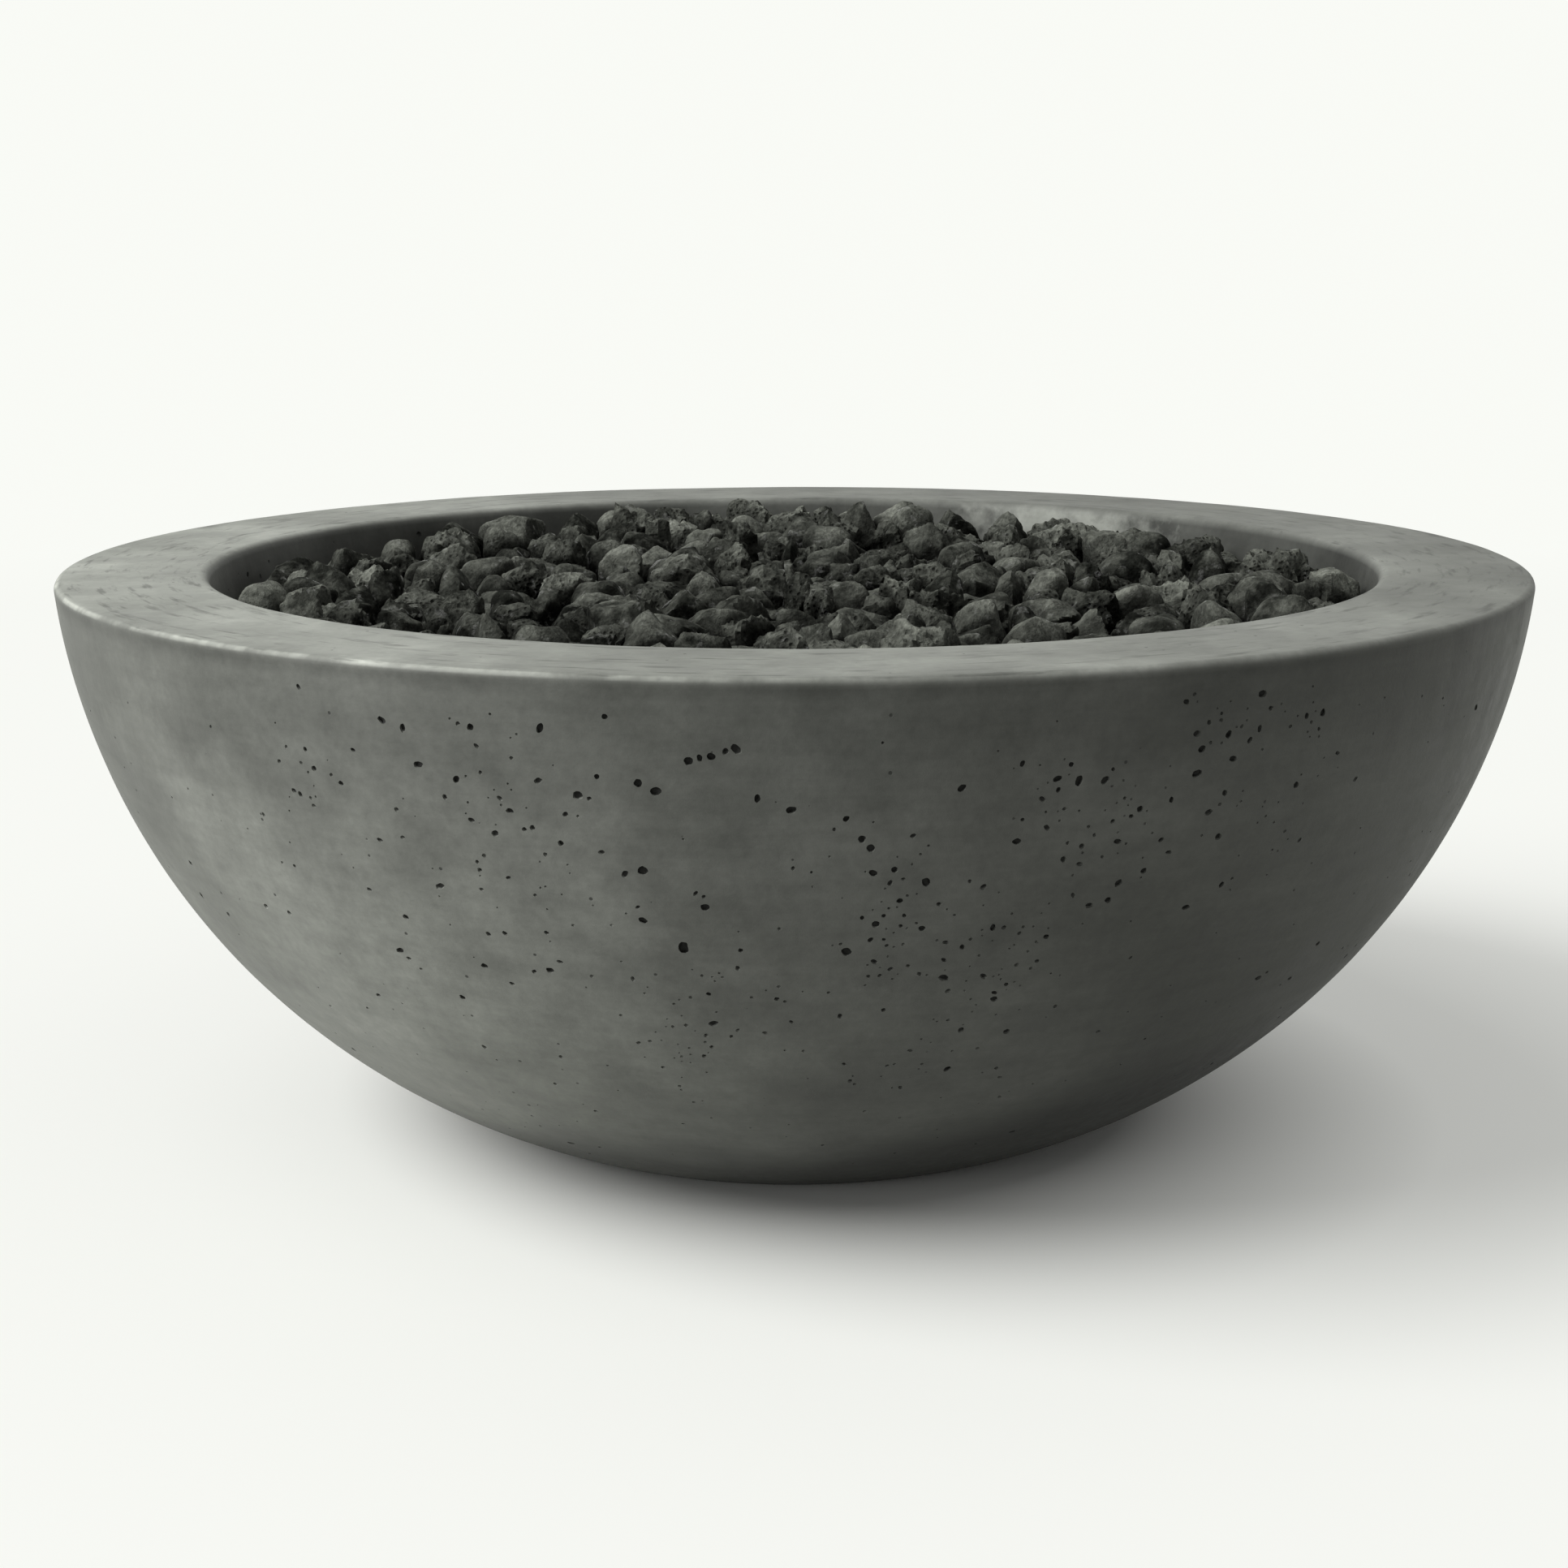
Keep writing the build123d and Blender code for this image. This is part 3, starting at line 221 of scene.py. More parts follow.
# Painted light on the rim's top, palest on the left, and painted shade at its back
rim_painted_light_left, rim_painted_light_right, rim_painted_shade_back = 2.16, 1.05, 0.68
rim_places, rim_back_places = (-0.44, 0.44), (0.10, 0.42)
# Painted highlight on the rim's outer edge, on the left
arris_highlight_tone = 1.4
arris_highlight_places = (0.04, -0.06)
run_low_tone, run_high_tone = 0.97, 0.62
run_places, run_levels = (0.30, 0.42), (0.17, 0.30)
# Painted pool of light on the basin's back wall
painted_light_patch_place = Vector((0.198, 0.305, 0.345))
painted_light_patch_tone = 2.4
painted_light_patch_reach = (0.088, 0.030)
cavity_top_level = 0.270
# Painted shade inside the air holes
pit_tone = 0.16
# Painted shade under the rim's outer edge
arris_shade_tone = 0.72
# Painted shade on the foot, reaching higher on the right
foot_shade_tone = 0.32
foot_top = 0.074
foot_bottom = 0.036
foot_right_rise = 0.055
foot_left_places, foot_right_places = (-0.24, -0.14), (0.0, 0.20)
# Painted shade low on the right side
lower_right_shade_tone = 0.66
lower_right_places, lower_right_levels = (0.11, 0.20), (0.27, 0.13)
# Painted shade on the band under the rim, from the middle to the right, and a painted sheen at its right edge
under_rim_shade_tone = 0.68
under_rim_places, under_rim_levels = (-0.15, 0.05), (0.27, 0.33)
right_edge_sheen_tone, right_edge_places = 1.25, (0.34, 0.43)

# Floor: share of the backdrop's white in it, near the bowl and far away; the share that grows outwards from
# the bowl is painted light that lifts the floor's shadow
floor_near, floor_mid = 0.22, 0.42
floor_mid_share = 0.36
floor_far, floor_end = 0.50, 0.85
floor_far_share = 0.30
backdrop_start, backdrop_end = 1.3, 3.2

# Lights
sun_towards = Vector((-0.70, -0.27, 0.656))
sun_strength = 2.9
sun_spread = math.radians(40)
sky_strength = 0.31
board_place = Vector((-2.77, -1.80, 0.38))
board_width, board_height = 1.70, 0.68
board_power = 24.0
board_aim = Vector((-0.20, -0.15, 0.14))


def pick_only(piece):
    """Selects one object and makes it the active one."""
    bpy.ops.object.select_all(action="DESELECT")
    piece.select_set(True)
    bpy.context.view_layer.objects.active = piece


def apply_changes(piece):
    """Applies every modifier of a piece."""
    pick_only(piece)
    for change in list(piece.modifiers):
        bpy.ops.object.modifier_apply(modifier=change.name)


def settle(piece):
    """Puts a piece's place into its mesh, so that its object sits at the origin."""
    pick_only(piece)
    bpy.ops.object.transform_apply(location=True, rotation=True, scale=True)


def cut_away(piece, tool):
    """Cuts a closed tool out of a piece and removes the tool."""
    change = piece.modifiers.new("cut", "BOOLEAN")
    change.operation = "DIFFERENCE"
    change.solver = "MANIFOLD"
    change.object = tool
    apply_changes(piece)
    bpy.data.objects.remove(tool)


def stepped(start, end, count):
    """Points from start towards end, in even steps, without the end."""
    return [
        (start[0] + (end[0] - start[0]) * step / count, start[1] + (end[1] - start[1]) * step / count)
        for step in range(count)
    ]


def on_arc(level, radius):
    """Point of the section on the arc of this radius."""
    return (arc_radial + math.sqrt(radius**2 - (arc_level - level) ** 2), level)


def arc_steps(start_level, end_level, radius, count):
    """Points along an arc of the section between two levels."""
    start = math.asin((arc_level - start_level) / radius)
    end = math.asin((arc_level - end_level) / radius)
    points = []
    for step in range(count + 1):
        lean = start + (end - start) * step / count
        points.append((arc_radial + radius * math.cos(lean), arc_level - radius * math.sin(lean)))
    return points


def rounded_corner(before, corner, after, radius):
    """Points of a round that replaces one corner of the section."""
    first = (Vector(before) - Vector(corner)).normalized()
    second = (Vector(after) - Vector(corner)).normalized()
    half = first.angle(second) / 2
    middle = Vector(corner) + (first + second).normalized() * (radius / math.sin(half))
    start = Vector(corner) + first * (radius / math.tan(half)) - middle
    end = Vector(corner) + second * (radius / math.tan(half)) - middle
    sweep = start.angle(end)
    points = []
    for step in range(round_steps + 1):
        share = step / round_steps
        arm = (start * math.sin((1 - share) * sweep) + end * math.sin(share * sweep)) / math.sin(sweep)
        points.append(tuple(middle + arm))
    return points


def bowl_outline():
    """Closed section of the casting, from the base hole round to its start."""
    outer = arc_steps(base_level, overall_height, outer_arc_radius, outer_levels)
    inner_radius = outer_arc_radius - shell_wall
    cavity_level = arc_level - math.sqrt(inner_radius**2 - (cavity_radius - arc_radial) ** 2)
    inner = arc_steps(cavity_level, floor_level, inner_radius, inner_levels)
    hole_foot = (base_hole_radius, base_level)
    rim_inside = (opening_radius, overall_height)
    ledge_outside = (ledge_radius, ledge_level)
    ledge_inside = (cavity_radius, ledge_level)
    hole_top = (base_hole_radius, floor_level)
    points = rounded_corner(hole_top, hole_foot, outer[0], hole_round)
    points += stepped(points[-1], outer[0], 8)[1:-1]
    points += rounded_corner(hole_foot, outer[0], outer[1], base_round)
    points += outer[1:-1]
    points += rounded_corner(outer[-2], outer[-1], rim_inside, rim_outer_round)
    points += stepped(points[-1], rim_inside, 9)[1:-1]
    points += rounded_corner(outer[-1], rim_inside, ledge_outside, rim_inner_round)
    points += stepped(points[-1], ledge_outside, 8)[1:-1]
    points += rounded_corner(rim_inside, ledge_outside, ledge_inside, ledge_round)
    points += stepped(points[-1], ledge_inside, 3)[1:-1]
    points += rounded_corner(ledge_outside, ledge_inside, inner[0], hole_round)
    points += stepped(points[-1], inner[0], 4)[1:]
    points += inner
    points += stepped(inner[-1], hole_top, 6)[1:]
    points += stepped(hole_top, hole_foot, 4)[:-1]
    points.append(points[0])
    return points


def make_casting():
    """The bowl's shell: its section is drawn by extruding one corner, then spun."""
    outline = bowl_outline()
    start = (outline[0][0], 0, outline[0][1])
    bpy.ops.object.select_all(action="DESELECT")
    bpy.ops.mesh.primitive_plane_add(size=0.001, location=start)
    casting = bpy.context.object
    casting.name = "concrete_bowl"
    settle(casting)
    bpy.ops.object.mode_set(mode="EDIT")
    bpy.ops.mesh.select_all(action="SELECT")
    bpy.ops.mesh.merge(type="CENTER")
    for here, there in zip(outline, outline[1:]):
        step = (there[0] - here[0], 0, there[1] - here[1])
        bpy.ops.mesh.extrude_region_move(TRANSFORM_OT_translate={"value": step})
    bpy.ops.mesh.select_all(action="SELECT")
    bpy.ops.mesh.remove_doubles(threshold=0.0001)
    bpy.ops.mesh.spin(steps=bowl_segments, angle=2 * math.pi, center=(0, 0, 0), axis=(0, 0, 1))
    bpy.ops.mesh.select_all(action="SELECT")
    bpy.ops.mesh.remove_doubles(threshold=0.0001)
    bpy.ops.mesh.normals_make_consistent(inside=False)
    bpy.ops.object.mode_set(mode="OBJECT")
    return casting


def mark_visible_faces(casting):
    """Vertex group of the outside, the rim and the basin's wall."""
    group = casting.vertex_groups.new(name="shown")
    for corner in casting.data.vertices:
        radial = math.hypot(corner.co.x, corner.co.y)
        outside = math.hypot(radial - arc_radial, corner.co.z - arc_level) > outer_arc_radius - 0.01
        if corner.co.z > base_level + 0.01 and (outside or corner.co.z > ledge_level + 0.02):
            group.add([corner.index], 1.0, "REPLACE")


def add_casting_waves(casting):
    """Slight unevenness that the mould leaves on the casting."""
    mark_visible_faces(casting)
    for name, size, height in (("mould_wave", 0.16, 0.0009), ("mould_ripple", 0.035, 0.00022)):
        pattern = bpy.data.textures.new(name, "CLOUDS")
        pattern.noise_scale = size
        pattern.noise_depth = 2
        change = casting.modifiers.new(name, "DISPLACE")
        change.texture = pattern
        change.texture_coords = "LOCAL"
        change.vertex_group = "shown"
        change.mid_level = 0.5
        change.strength = height
    apply_changes(casting)
    casting.vertex_groups.clear()


def round_tool(radius, start, end, axis="Z", place=(0, 0, 0)):
    """Closed cylinder between two distances along an axis, to cut a hole with."""
    turn = (0, 0, 0) if axis == "Z" else (math.pi / 2, 0, 0)
    middle = Vector(place) + Vector((0, 0, 1) if axis == "Z" else (0, 1, 0)) * (start + end) / 2
    bpy.ops.object.select_all(action="DESELECT")
    bpy.ops.mesh.primitive_cylinder_add(
        vertices=64, radius=radius, depth=end - start, location=middle, rotation=turn
    )
    tool = bpy.context.object
    settle(tool)
    return tool


def cut_fittings(casting):
    """Pad pockets, screw holes, and the valve's way through the back wall."""
    for index in range(pad_count):
        turn = index * 2 * math.pi / pad_count
        place = (pad_circle_radius * math.cos(turn), pad_circle_radius * math.sin(turn), 0)
        cut_away(casting, round_tool(pad_pocket_radius, -cut_overlap, pad_pocket_top, place=place))
    screw_foot, screw_mouth = floor_level - screw_hole_depth, floor_level + cut_overlap
    for x, y in screw_places:
        cut_away(casting, round_tool(screw_hole_radius, screw_foot, screw_mouth, place=(x, y, 0)))
    stem_line = (0, 0, valve_height)
    cut_away(casting, round_tool(wall_bore_radius, wall_spot_start, wall_bore_end, "Y", stem_line))
    cut_away(casting, round_tool(wall_spot_radius, wall_spot_start, wall_spot_end, "Y", stem_line))
    cut_away(casting, round_tool(recess_radius, recess_floor, recess_end, "Y", stem_line))


def photo_ray(across, down):
    """Direction from the camera through a pixel of the photograph."""
    reach = camera_lens / camera_sensor * photo_side
    half = photo_side / 2
    return camera_turn() @ Vector(((across - half) / reach, (half - down) / reach, -1)).normalized()


def camera_turn():
    """The camera's turn as a 3 by 3 matrix."""
    turn = Matrix.Rotation(camera_yaw, 3, "Z") @ Matrix.Rotation(camera_pitch, 3, "X")
    return turn @ Matrix.Rotation(camera_roll, 3, "Z")


def drawn_width(chance, widths):
    """Width of an air hole: most are narrow, a few are wide."""
    least, usual, most = widths
    return least + min(chance.expovariate(1 / usual), most)


def pit_places(casting):
    """Middle, outward direction and width of every air hole, none touching another."""
    chance = random.Random(pit_seed)
    wanted = []
    for across, down, width in seen_pits:
        wanted.append(seen_place(casting, across, down, width * 0.001))
    for across, down in middling_pits:
        wanted.append(seen_place(casting, across, down, middling_pit * chance.uniform(0.85, 1.2)))
    for across, down in little_pits:
        wanted.append(seen_place(casting, across, down, little_pit * chance.uniform(0.8, 1.2)))
    for across, down, spread, count in pit_clusters:
        for _ in range(count):
            shift = (chance.gauss(0, spread * 0.6), chance.gauss(0, spread * 0.6))
            width = drawn_width(chance, cluster_widths)
            wanted.append(seen_place(casting, across + shift[0], down + shift[1], width))
    for _ in range(rear_clusters):
        wanted += rear_cluster(chance)
    for _ in range(scattered_pits):
        turn = chance.uniform(0, 2 * math.pi)
        level = pit_highest - scattered_drop * chance.random() ** 0.9
        width = drawn_width(chance, scattered_widths)
        wanted.append(outside_place(turn, level, width))
    for _ in range(basin_pits):
        turn = chance.uniform(0, 2 * math.pi)
        width = drawn_width(chance, basin_widths)
        wanted.append(basin_place(turn, chance.uniform(*basin_pit_levels), width))
    kept = []
    for place in wanted:
        if place is None or (place[0] - valve_clear_place).length < valve_clear_reach:
            continue
        if all((place[0] - other[0]).length > (place[2] + other[2]) / 2 + pit_gap for other in kept):
            kept.append(place)
    return kept


def rear_cluster(chance):
    """A group of air holes on the half of the bowl that faces away from the photograph."""
    middle_turn = chance.uniform(-rear_overlap, math.pi + rear_overlap)
    middle_level = chance.uniform(*rear_cluster_levels)
    places = []
    for _ in range(chance.randint(*rear_cluster_count)):
        turn = middle_turn + chance.gauss(0, rear_cluster_spread) / rim_radius
        level = middle_level + chance.gauss(0, rear_cluster_spread)
        width = drawn_width(chance, rear_widths)
        places.append(outside_place(turn, min(max(level, pit_lowest), pit_highest), width))
    return places


def seen_place(casting, across, down, width):
    """Where the ray through a photograph's pixel meets the outside of the casting."""
    start = Vector(camera_place)
    hit, place, normal, _ = casting.ray_cast(start, photo_ray(across, down))
    if not hit or place.z > seen_pit_highest:
        return None
    return (place, normal, width)


def outside_place(turn, level, width):
    """A place on the outside of the casting."""
    radial = on_arc(level, outer_arc_radius)[0]
    across = (radial - arc_radial) / outer_arc_radius
    rise = (level - arc_level) / outer_arc_radius
    normal = Vector((across * math.cos(turn), across * math.sin(turn), rise))
    return (Vector((radial * math.cos(turn), radial * math.sin(turn), level)), normal, width)


def basin_place(turn, level, width):
    """A place on the basin's leaning wall."""
    share = (level - ledge_level) / (overall_height - ledge_level)
    radial = ledge_radius + (opening_radius - ledge_radius) * share
    normal = Vector((-math.cos(turn), -math.sin(turn), 0.18)).normalized()
    return (Vector((radial * math.cos(turn), radial * math.sin(turn), level)), normal, width)


def pit_shape(detail):
    """Corners and faces of a ball, as a start for an air hole's tool."""
    bpy.ops.object.select_all(action="DESELECT")
    bpy.ops.mesh.primitive_ico_sphere_add(subdivisions=detail, radius=1.0)
    ball = bpy.context.object
    corners = [corner.co.copy() for corner in ball.data.vertices]
    faces = [tuple(face.vertices) for face in ball.data.polygons]
    bpy.data.objects.remove(ball)
    return corners, faces


def cut_pits(casting):
    """Cuts the air holes as slightly crooked, stretched bubbles."""
    chance = random.Random(pit_seed + 1)
    shapes = {1: pit_shape(1), 2: pit_shape(2)}
    corners = []
    faces = []
    for place, normal, width in pit_places(casting):
        ball, ball_faces = shapes[2 if width > round_pit_width else 1]
        stretch = chance.uniform(1.0, 1.55) if width > long_pit_width else chance.uniform(1.0, 1.25)
        along = normal.orthogonal().normalized()
        along.rotate(Matrix.Rotation(chance.uniform(0, math.pi), 3, normal))
        across = normal.cross(along)
        half = width / 2
        middle = place - normal * half * chance.uniform(0.05, 0.4)
        first = len(corners)
        for corner in ball:
            crooked = 1 + 0.28 * noise.noise(corner * 1.3 + place * 900)
            offset = along * corner.x * stretch + across * corner.y + normal * corner.z * 0.95
            corners.append(middle + offset * half * crooked)
        faces += [tuple(first + index for index in face) for face in ball_faces]
    shape = bpy.data.meshes.new("pit_tool")
    shape.from_pydata(corners, [], faces)
    tool = bpy.data.objects.new("pit_tool", shape)
    bpy.context.scene.collection.objects.link(tool)
    cut_away(casting, tool)


def make_bowl():
    """The whole concrete bowl."""
    casting = make_casting()
    add_casting_waves(casting)
    cut_fittings(casting)
    cut_pits(casting)
    pick_only(casting)
    bpy.ops.object.shade_smooth_by_angle(angle=math.radians(32))
    casting.data.materials.clear()
    casting.data.materials.append(concrete_material())
    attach(casting, "bowl")
    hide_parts("bowl_shell")
    return casting


def face_groups(shape):
    """Faces of a mesh, one list for each separate lump."""
    seen = set()
    groups = []
    for start in shape.faces:
        if start.index in seen:
            continue
        seen.add(start.index)
        group, waiting = [start], [start]
        while waiting:
            for edge in waiting.pop().edges:
                for other in edge.link_faces:
                    if other.index not in seen:
                        seen.add(other.index)
                        group.append(other)
                        waiting.append(other)
        groups.append(group)
    return groups


def rock_hulls(node):
    """Middle, faces (direction, distance) and top of each lump of one ring, in a fixed order."""
    shape = bmesh.new()
    shape.from_mesh(frame["nodes"][node].data)
    bmesh.ops.remove_doubles(shape, verts=shape.verts, dist=0.000001)
    shape.faces.index_update()
    shape.verts.index_update()
    hulls = []
    for group in face_groups(shape):
        corners = {corner.index: corner.co.copy() for face in group for corner in face.verts}
        middle = sum((corners[index] for index in sorted(corners)), Vector()) / len(corners)
        sides = []
        for face in group:
            face.normal_update()
            out = face.normal.copy()
            if all(out.dot(side[0]) < 0.996 for side in sides):
                sides.append((out, out.dot(face.verts[0].co - middle)))
        hulls.append((middle, sides, max(corner.z for corner in corners.values()) - middle.z))
    shape.free()
    return sorted(hulls, key=lambda hull: (round(hull[0].x, 4), round(hull[0].y, 4)))


def rock_start():
    """Corners and faces of an even ball of squares, the start of every rock."""
    bpy.ops.object.select_all(action="DESELECT")
    bpy.ops.mesh.primitive_cube_add(size=2.0)
    block = bpy.context.object
    bpy.ops.object.mode_set(mode="EDIT")
    bpy.ops.mesh.select_all(action="SELECT")
    bpy.ops.mesh.subdivide(number_cuts=rock_cuts)
    bpy.ops.transform.tosphere(value=1.0)
    bpy.ops.object.mode_set(mode="OBJECT")
    corners = [corner.co.normalized() for corner in block.data.vertices]
    faces = [tuple(face.vertices) for face in block.data.polygons]
    bpy.data.objects.remove(block)
    return corners, faces


def rock_reach(direction, sides, sharpness):
    """Distance from a lump's middle to its side, with the edges worn round."""
    total = 0.0
    for out, distance in sides:
        lean = out.dot(direction)
        if lean > 0:
            total += (lean / distance) ** sharpness
    return total ** (-1 / sharpness)


def any_way(chance, flatness=1.0):
    """A direction picked by chance."""
    return Vector((chance.gauss(0, 1), chance.gauss(0, 1), chance.gauss(0, flatness))).normalized()


def broken_sides(sides, chance):
    """A lump's faces, with a few more that cut across it as fresh breaks do."""
    more = list(sides)
    for _ in range(chance.randint(*break_counts)):
        out = any_way(chance, 0.9)
        more.append((out, rock_reach(out, sides, 20.0) * chance.uniform(*break_depths)))
    return more


def make_dents(kind, chance):
    """Hollows of one rock: direction, how far across and how deep."""
    counts = {name: chance.randint(*span) for name, span in rock_dents.items()}
    dents = []
    for _ in range(counts[kind]):
        dents.append((any_way(chance, 0.8), chance.uniform(*dent_edges), chance.uniform(*dent_depths)))
    return dents


def dented(direction, dents):
    """How deep a rock's hollows are in one direction."""
    depth = 0.0
    for way, edge, deepest in dents:
        near = (direction.dot(way) - edge) / (1 - edge)
        if near > 0:
            depth += deepest * near * near * (3 - 2 * near)
    return depth


def worn_surface(place, shift, kind):
    """How far a full-size rock's skin stands in or out at a place, in metres."""
    lumps = 0.0024 * noise.fractal((place + shift) * 48, 1.0, 2.1, 2)
    fine = 0.0013 * noise.fractal((place + shift) * 150, 0.8, 2.1, 3)
    if kind == "cobble":
        return lumps + 0.35 * fine
    if kind == "broken":
        return 0.55 * lumps + 0.8 * fine
    ropes = noise.ridged_multi_fractal((place + shift) * 110, 0.9, 2.1, 3, 1.0, 1.7)
    near = noise.voronoi((place + shift) * 170)[0][0]
    hollow = max(0.0, 1 - near / 0.45)
    return lumps + fine + 0.0026 * (ropes - 1.1) - 0.0042 * hollow * hollow


def noise_shift(chance):
    """A step that gives each stone its own part of the noise."""
    return Vector([chance.uniform(-9, 9) for _ in range(3)])


def rock_skin(sides, start, kind, chance, relief=1.0):
    """Offsets of one rock's corners from its middle."""
    sharpness = chance.uniform(*rock_edges[kind])
    if kind == "broken":
        sides = broken_sides(sides, chance)
    dents = make_dents(kind, chance)
    swell = chance.uniform(*rock_swell)
    shift = noise_shift(chance)
    offsets = []
    for direction in start:
        reach = rock_reach(direction, sides, sharpness) * swell
        offset = direction * (reach - relief * dented(direction, dents))
        offsets.append(offset + direction * relief * worn_surface(offset, shift, kind))
    return offsets


def slimmed(offsets, chance):
    """Narrows a rock across one level way, so that a gap opens beside it."""
    turn = chance.uniform(0, math.pi)
    across = Vector((math.cos(turn), math.sin(turn), 0))
    share = 1 - chance.uniform(*rock_slim)
    return [offset - across * (offset.dot(across) * share) for offset in offsets]


def raised_top(offsets, top):
    """Stretches the upper half of a rock towards this height, and lifts it for the rest."""
    peak = max(offset.z for offset in offsets)
    stretch = min(top / peak, rock_top_stretch)
    lift = min(top - peak * stretch, rock_top_lift)
    for offset in offsets:
        if offset.z > 0:
            offset.z *= stretch
        offset.z += lift


def new_rocks():
    """Empty lists for the corners, faces, tones and clinker shares of a piece of rocks."""
    return {"corners": [], "faces": [], "tones": [], "clinkers": []}


def add_skin(rocks, middle, offsets, faces, tone, clinker):
    """Adds one rock to a piece."""
    first = len(rocks["corners"])
    rocks["corners"] += [middle + offset for offset in offsets]
    rocks["faces"] += [tuple(first + index for index in face) for face in faces]
    rocks["tones"] += [tone] * len(offsets)
    rocks["clinkers"] += [clinker] * len(offsets)


def finish_rocks(rocks, name, edge):
    """Makes a piece of rocks from its lists."""
    shape = bpy.data.meshes.new(name)
    shape.from_pydata(rocks["corners"], [], rocks["faces"])
    for label, values in (("rock_tone", rocks["tones"]), ("clinker", rocks["clinkers"])):
        shape.attributes.new(label, "FLOAT", "POINT").data.foreach_set("value", values)
    piece = bpy.data.objects.new(name, shape)
    bpy.context.scene.collection.objects.link(piece)
    pick_only(piece)
    bpy.ops.object.shade_smooth_by_angle(angle=math.radians(edge))
    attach(piece, "bowl")
    return piece


def make_rocks(node, number, hulls, start, start_faces):
    """All the rocks of one ring, as one piece."""
    chance = random.Random(rock_seed + number)
    rocks = new_rocks()
    for middle, sides, top in hulls:
        kind = chance.choice(rock_kinds)
        offsets = slimmed(rock_skin(sides, start, kind, chance), chance)
        spread = rock_back_spread if middle.y > skyline_start else rock_top_spread
        raised_top(offsets, top + chance.uniform(*spread))
        clinker = chance.uniform(0.5, 1.0) if kind == "clinker" else chance.uniform(0.0, 0.3)
        add_skin(rocks, middle, offsets, start_faces, chance.random(), clinker)
    piece = finish_rocks(rocks, f"lava_rocks_{number}", 38)
    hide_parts(node)
    return piece, rocks


def level_under(tree, x, y):
    """Height of the rocks at a place, seen from above."""
    hit = tree.ray_cast(Vector((x, y, 0.5)), Vector((0, 0, -1)))[0]
    return bed_level if hit is None else max(hit.z, bed_level)


def bed_place(chance):
    """A level place picked by chance on the bed of rocks."""
    turn = chance.uniform(0, 2 * math.pi)
    radial = bed_reach * math.sqrt(chance.random())
    return radial * math.cos(turn), radial * math.sin(turn)


def valley_place(tree, chance):
    """A low place between the rocks, or none where the ground is high."""
    x, y = bed_place(chance)
    around = []
    for step in range(6):
        lean = step * math.pi / 3
        around.append(level_under(tree, x + valley_reach * math.cos(lean), y + valley_reach * math.sin(lean)))
    here = level_under(tree, x, y)
    if sorted(around)[2] - here < valley_depth:
        return None
    return Vector((x, y, here))


def make_small_rocks(all_rocks, start, start_faces):
    """Smaller stones that lie in the hollows between the large rocks."""
    corners, faces = [], []
    for rocks in all_rocks:
        first = len(corners)
        corners += rocks["corners"]
        faces += [tuple(first + index for index in face) for face in rocks["faces"]]
    tree = BVHTree.FromPolygons(corners, faces)
    chance = random.Random(rock_seed)
    stones = new_rocks()
    placed = []
    for _ in range(small_rock_tries):
        place = valley_place(tree, chance)
        if place is None or len(placed) == small_rock_count:
            continue
        half = chance.uniform(*small_rock_half)
        if any((place.xy - other).length < half + other_half for other, other_half in placed):
            continue
        placed.append((place.xy.copy(), half))
        sides = [(any_way(chance), half * chance.uniform(0.75, 1.1)) for _ in range(14)]
        sides += [(way, half * 1.2) for way in six_ways]
        kind = chance.choice(rock_kinds)
        offsets = rock_skin(sides, start, kind, chance, small_rock_relief)
        add_skin(stones, place + Vector((0, 0, half * 0.55)), offsets, start_faces, chance.random(), 0.5)
    return finish_rocks(stones, "lava_small_rocks", 50)


def make_chips(hulls):
    """Small broken chips on the granules, in the gaps between the rocks."""
    chance = random.Random(rock_seed)
    ball, ball_faces = pit_shape(2)
    chips = new_rocks()
    for _ in range(chip_count):
        flat = Vector(bed_place(chance))
        if min((hull[0].xy - flat).length for hull in hulls) < chip_clearance:
            continue
        half = chance.uniform(*chip_half)
        middle = Vector((flat.x, flat.y, bed_level + half * 0.6))
        shift = noise_shift(chance)
        size = Vector((1.0, chance.uniform(0.6, 1.0), chance.uniform(0.5, 0.9)))
        turned = Matrix.Rotation(chance.uniform(0, math.pi), 3, "Z")
        offsets = []
        for corner in ball:
            crooked = 1 + 0.35 * noise.noise(corner * 1.6 + shift)
            offsets.append(turned @ (corner * size) * half * crooked)
        add_skin(chips, middle, offsets, ball_faces, chance.random(), 0.7)
    return finish_rocks(chips, "lava_chips", 40)


def new_material(name):
    """A node material and its main shader."""
    material = bpy.data.materials.new(name)
    material.use_nodes = True
    return material, material.node_tree, material.node_tree.nodes["Principled BSDF"]


def put(tree, kind, inputs=None, **settings):
    """Adds a node. Inputs are numbers, colours or the outputs of other nodes."""
    made = tree.nodes.new(kind)
    for name, value in settings.items():
        setattr(made, name, value)
    for key, value in (inputs or {}).items():
        if isinstance(value, bpy.types.NodeSocket):
            tree.links.new(value, made.inputs[key])
        else:
            made.inputs[key].default_value = value
    return made


def cloud(tree, place, scale, detail=2.0, roughness=0.5):
    """Soft noise from 0 to 1."""
    inputs = {"Vector": place, "Scale": scale, "Detail": detail, "Roughness": roughness}
    return put(tree, "ShaderNodeTexNoise", inputs).outputs[0]


def ranged(tree, value, low, high, out_low=0.0, out_high=1.0):
    """Maps a value from one range to another, and keeps it there."""
    inputs = {"Value": value, "From Min": low, "From Max": high, "To Min": out_low, "To Max": out_high}
    return put(tree, "ShaderNodeMapRange", inputs).outputs["Result"]


def sums(tree, operation, first, second):
    """One step of arithmetic on two values."""
    return put(tree, "ShaderNodeMath", {0: first, 1: second}, operation=operation).outputs[0]


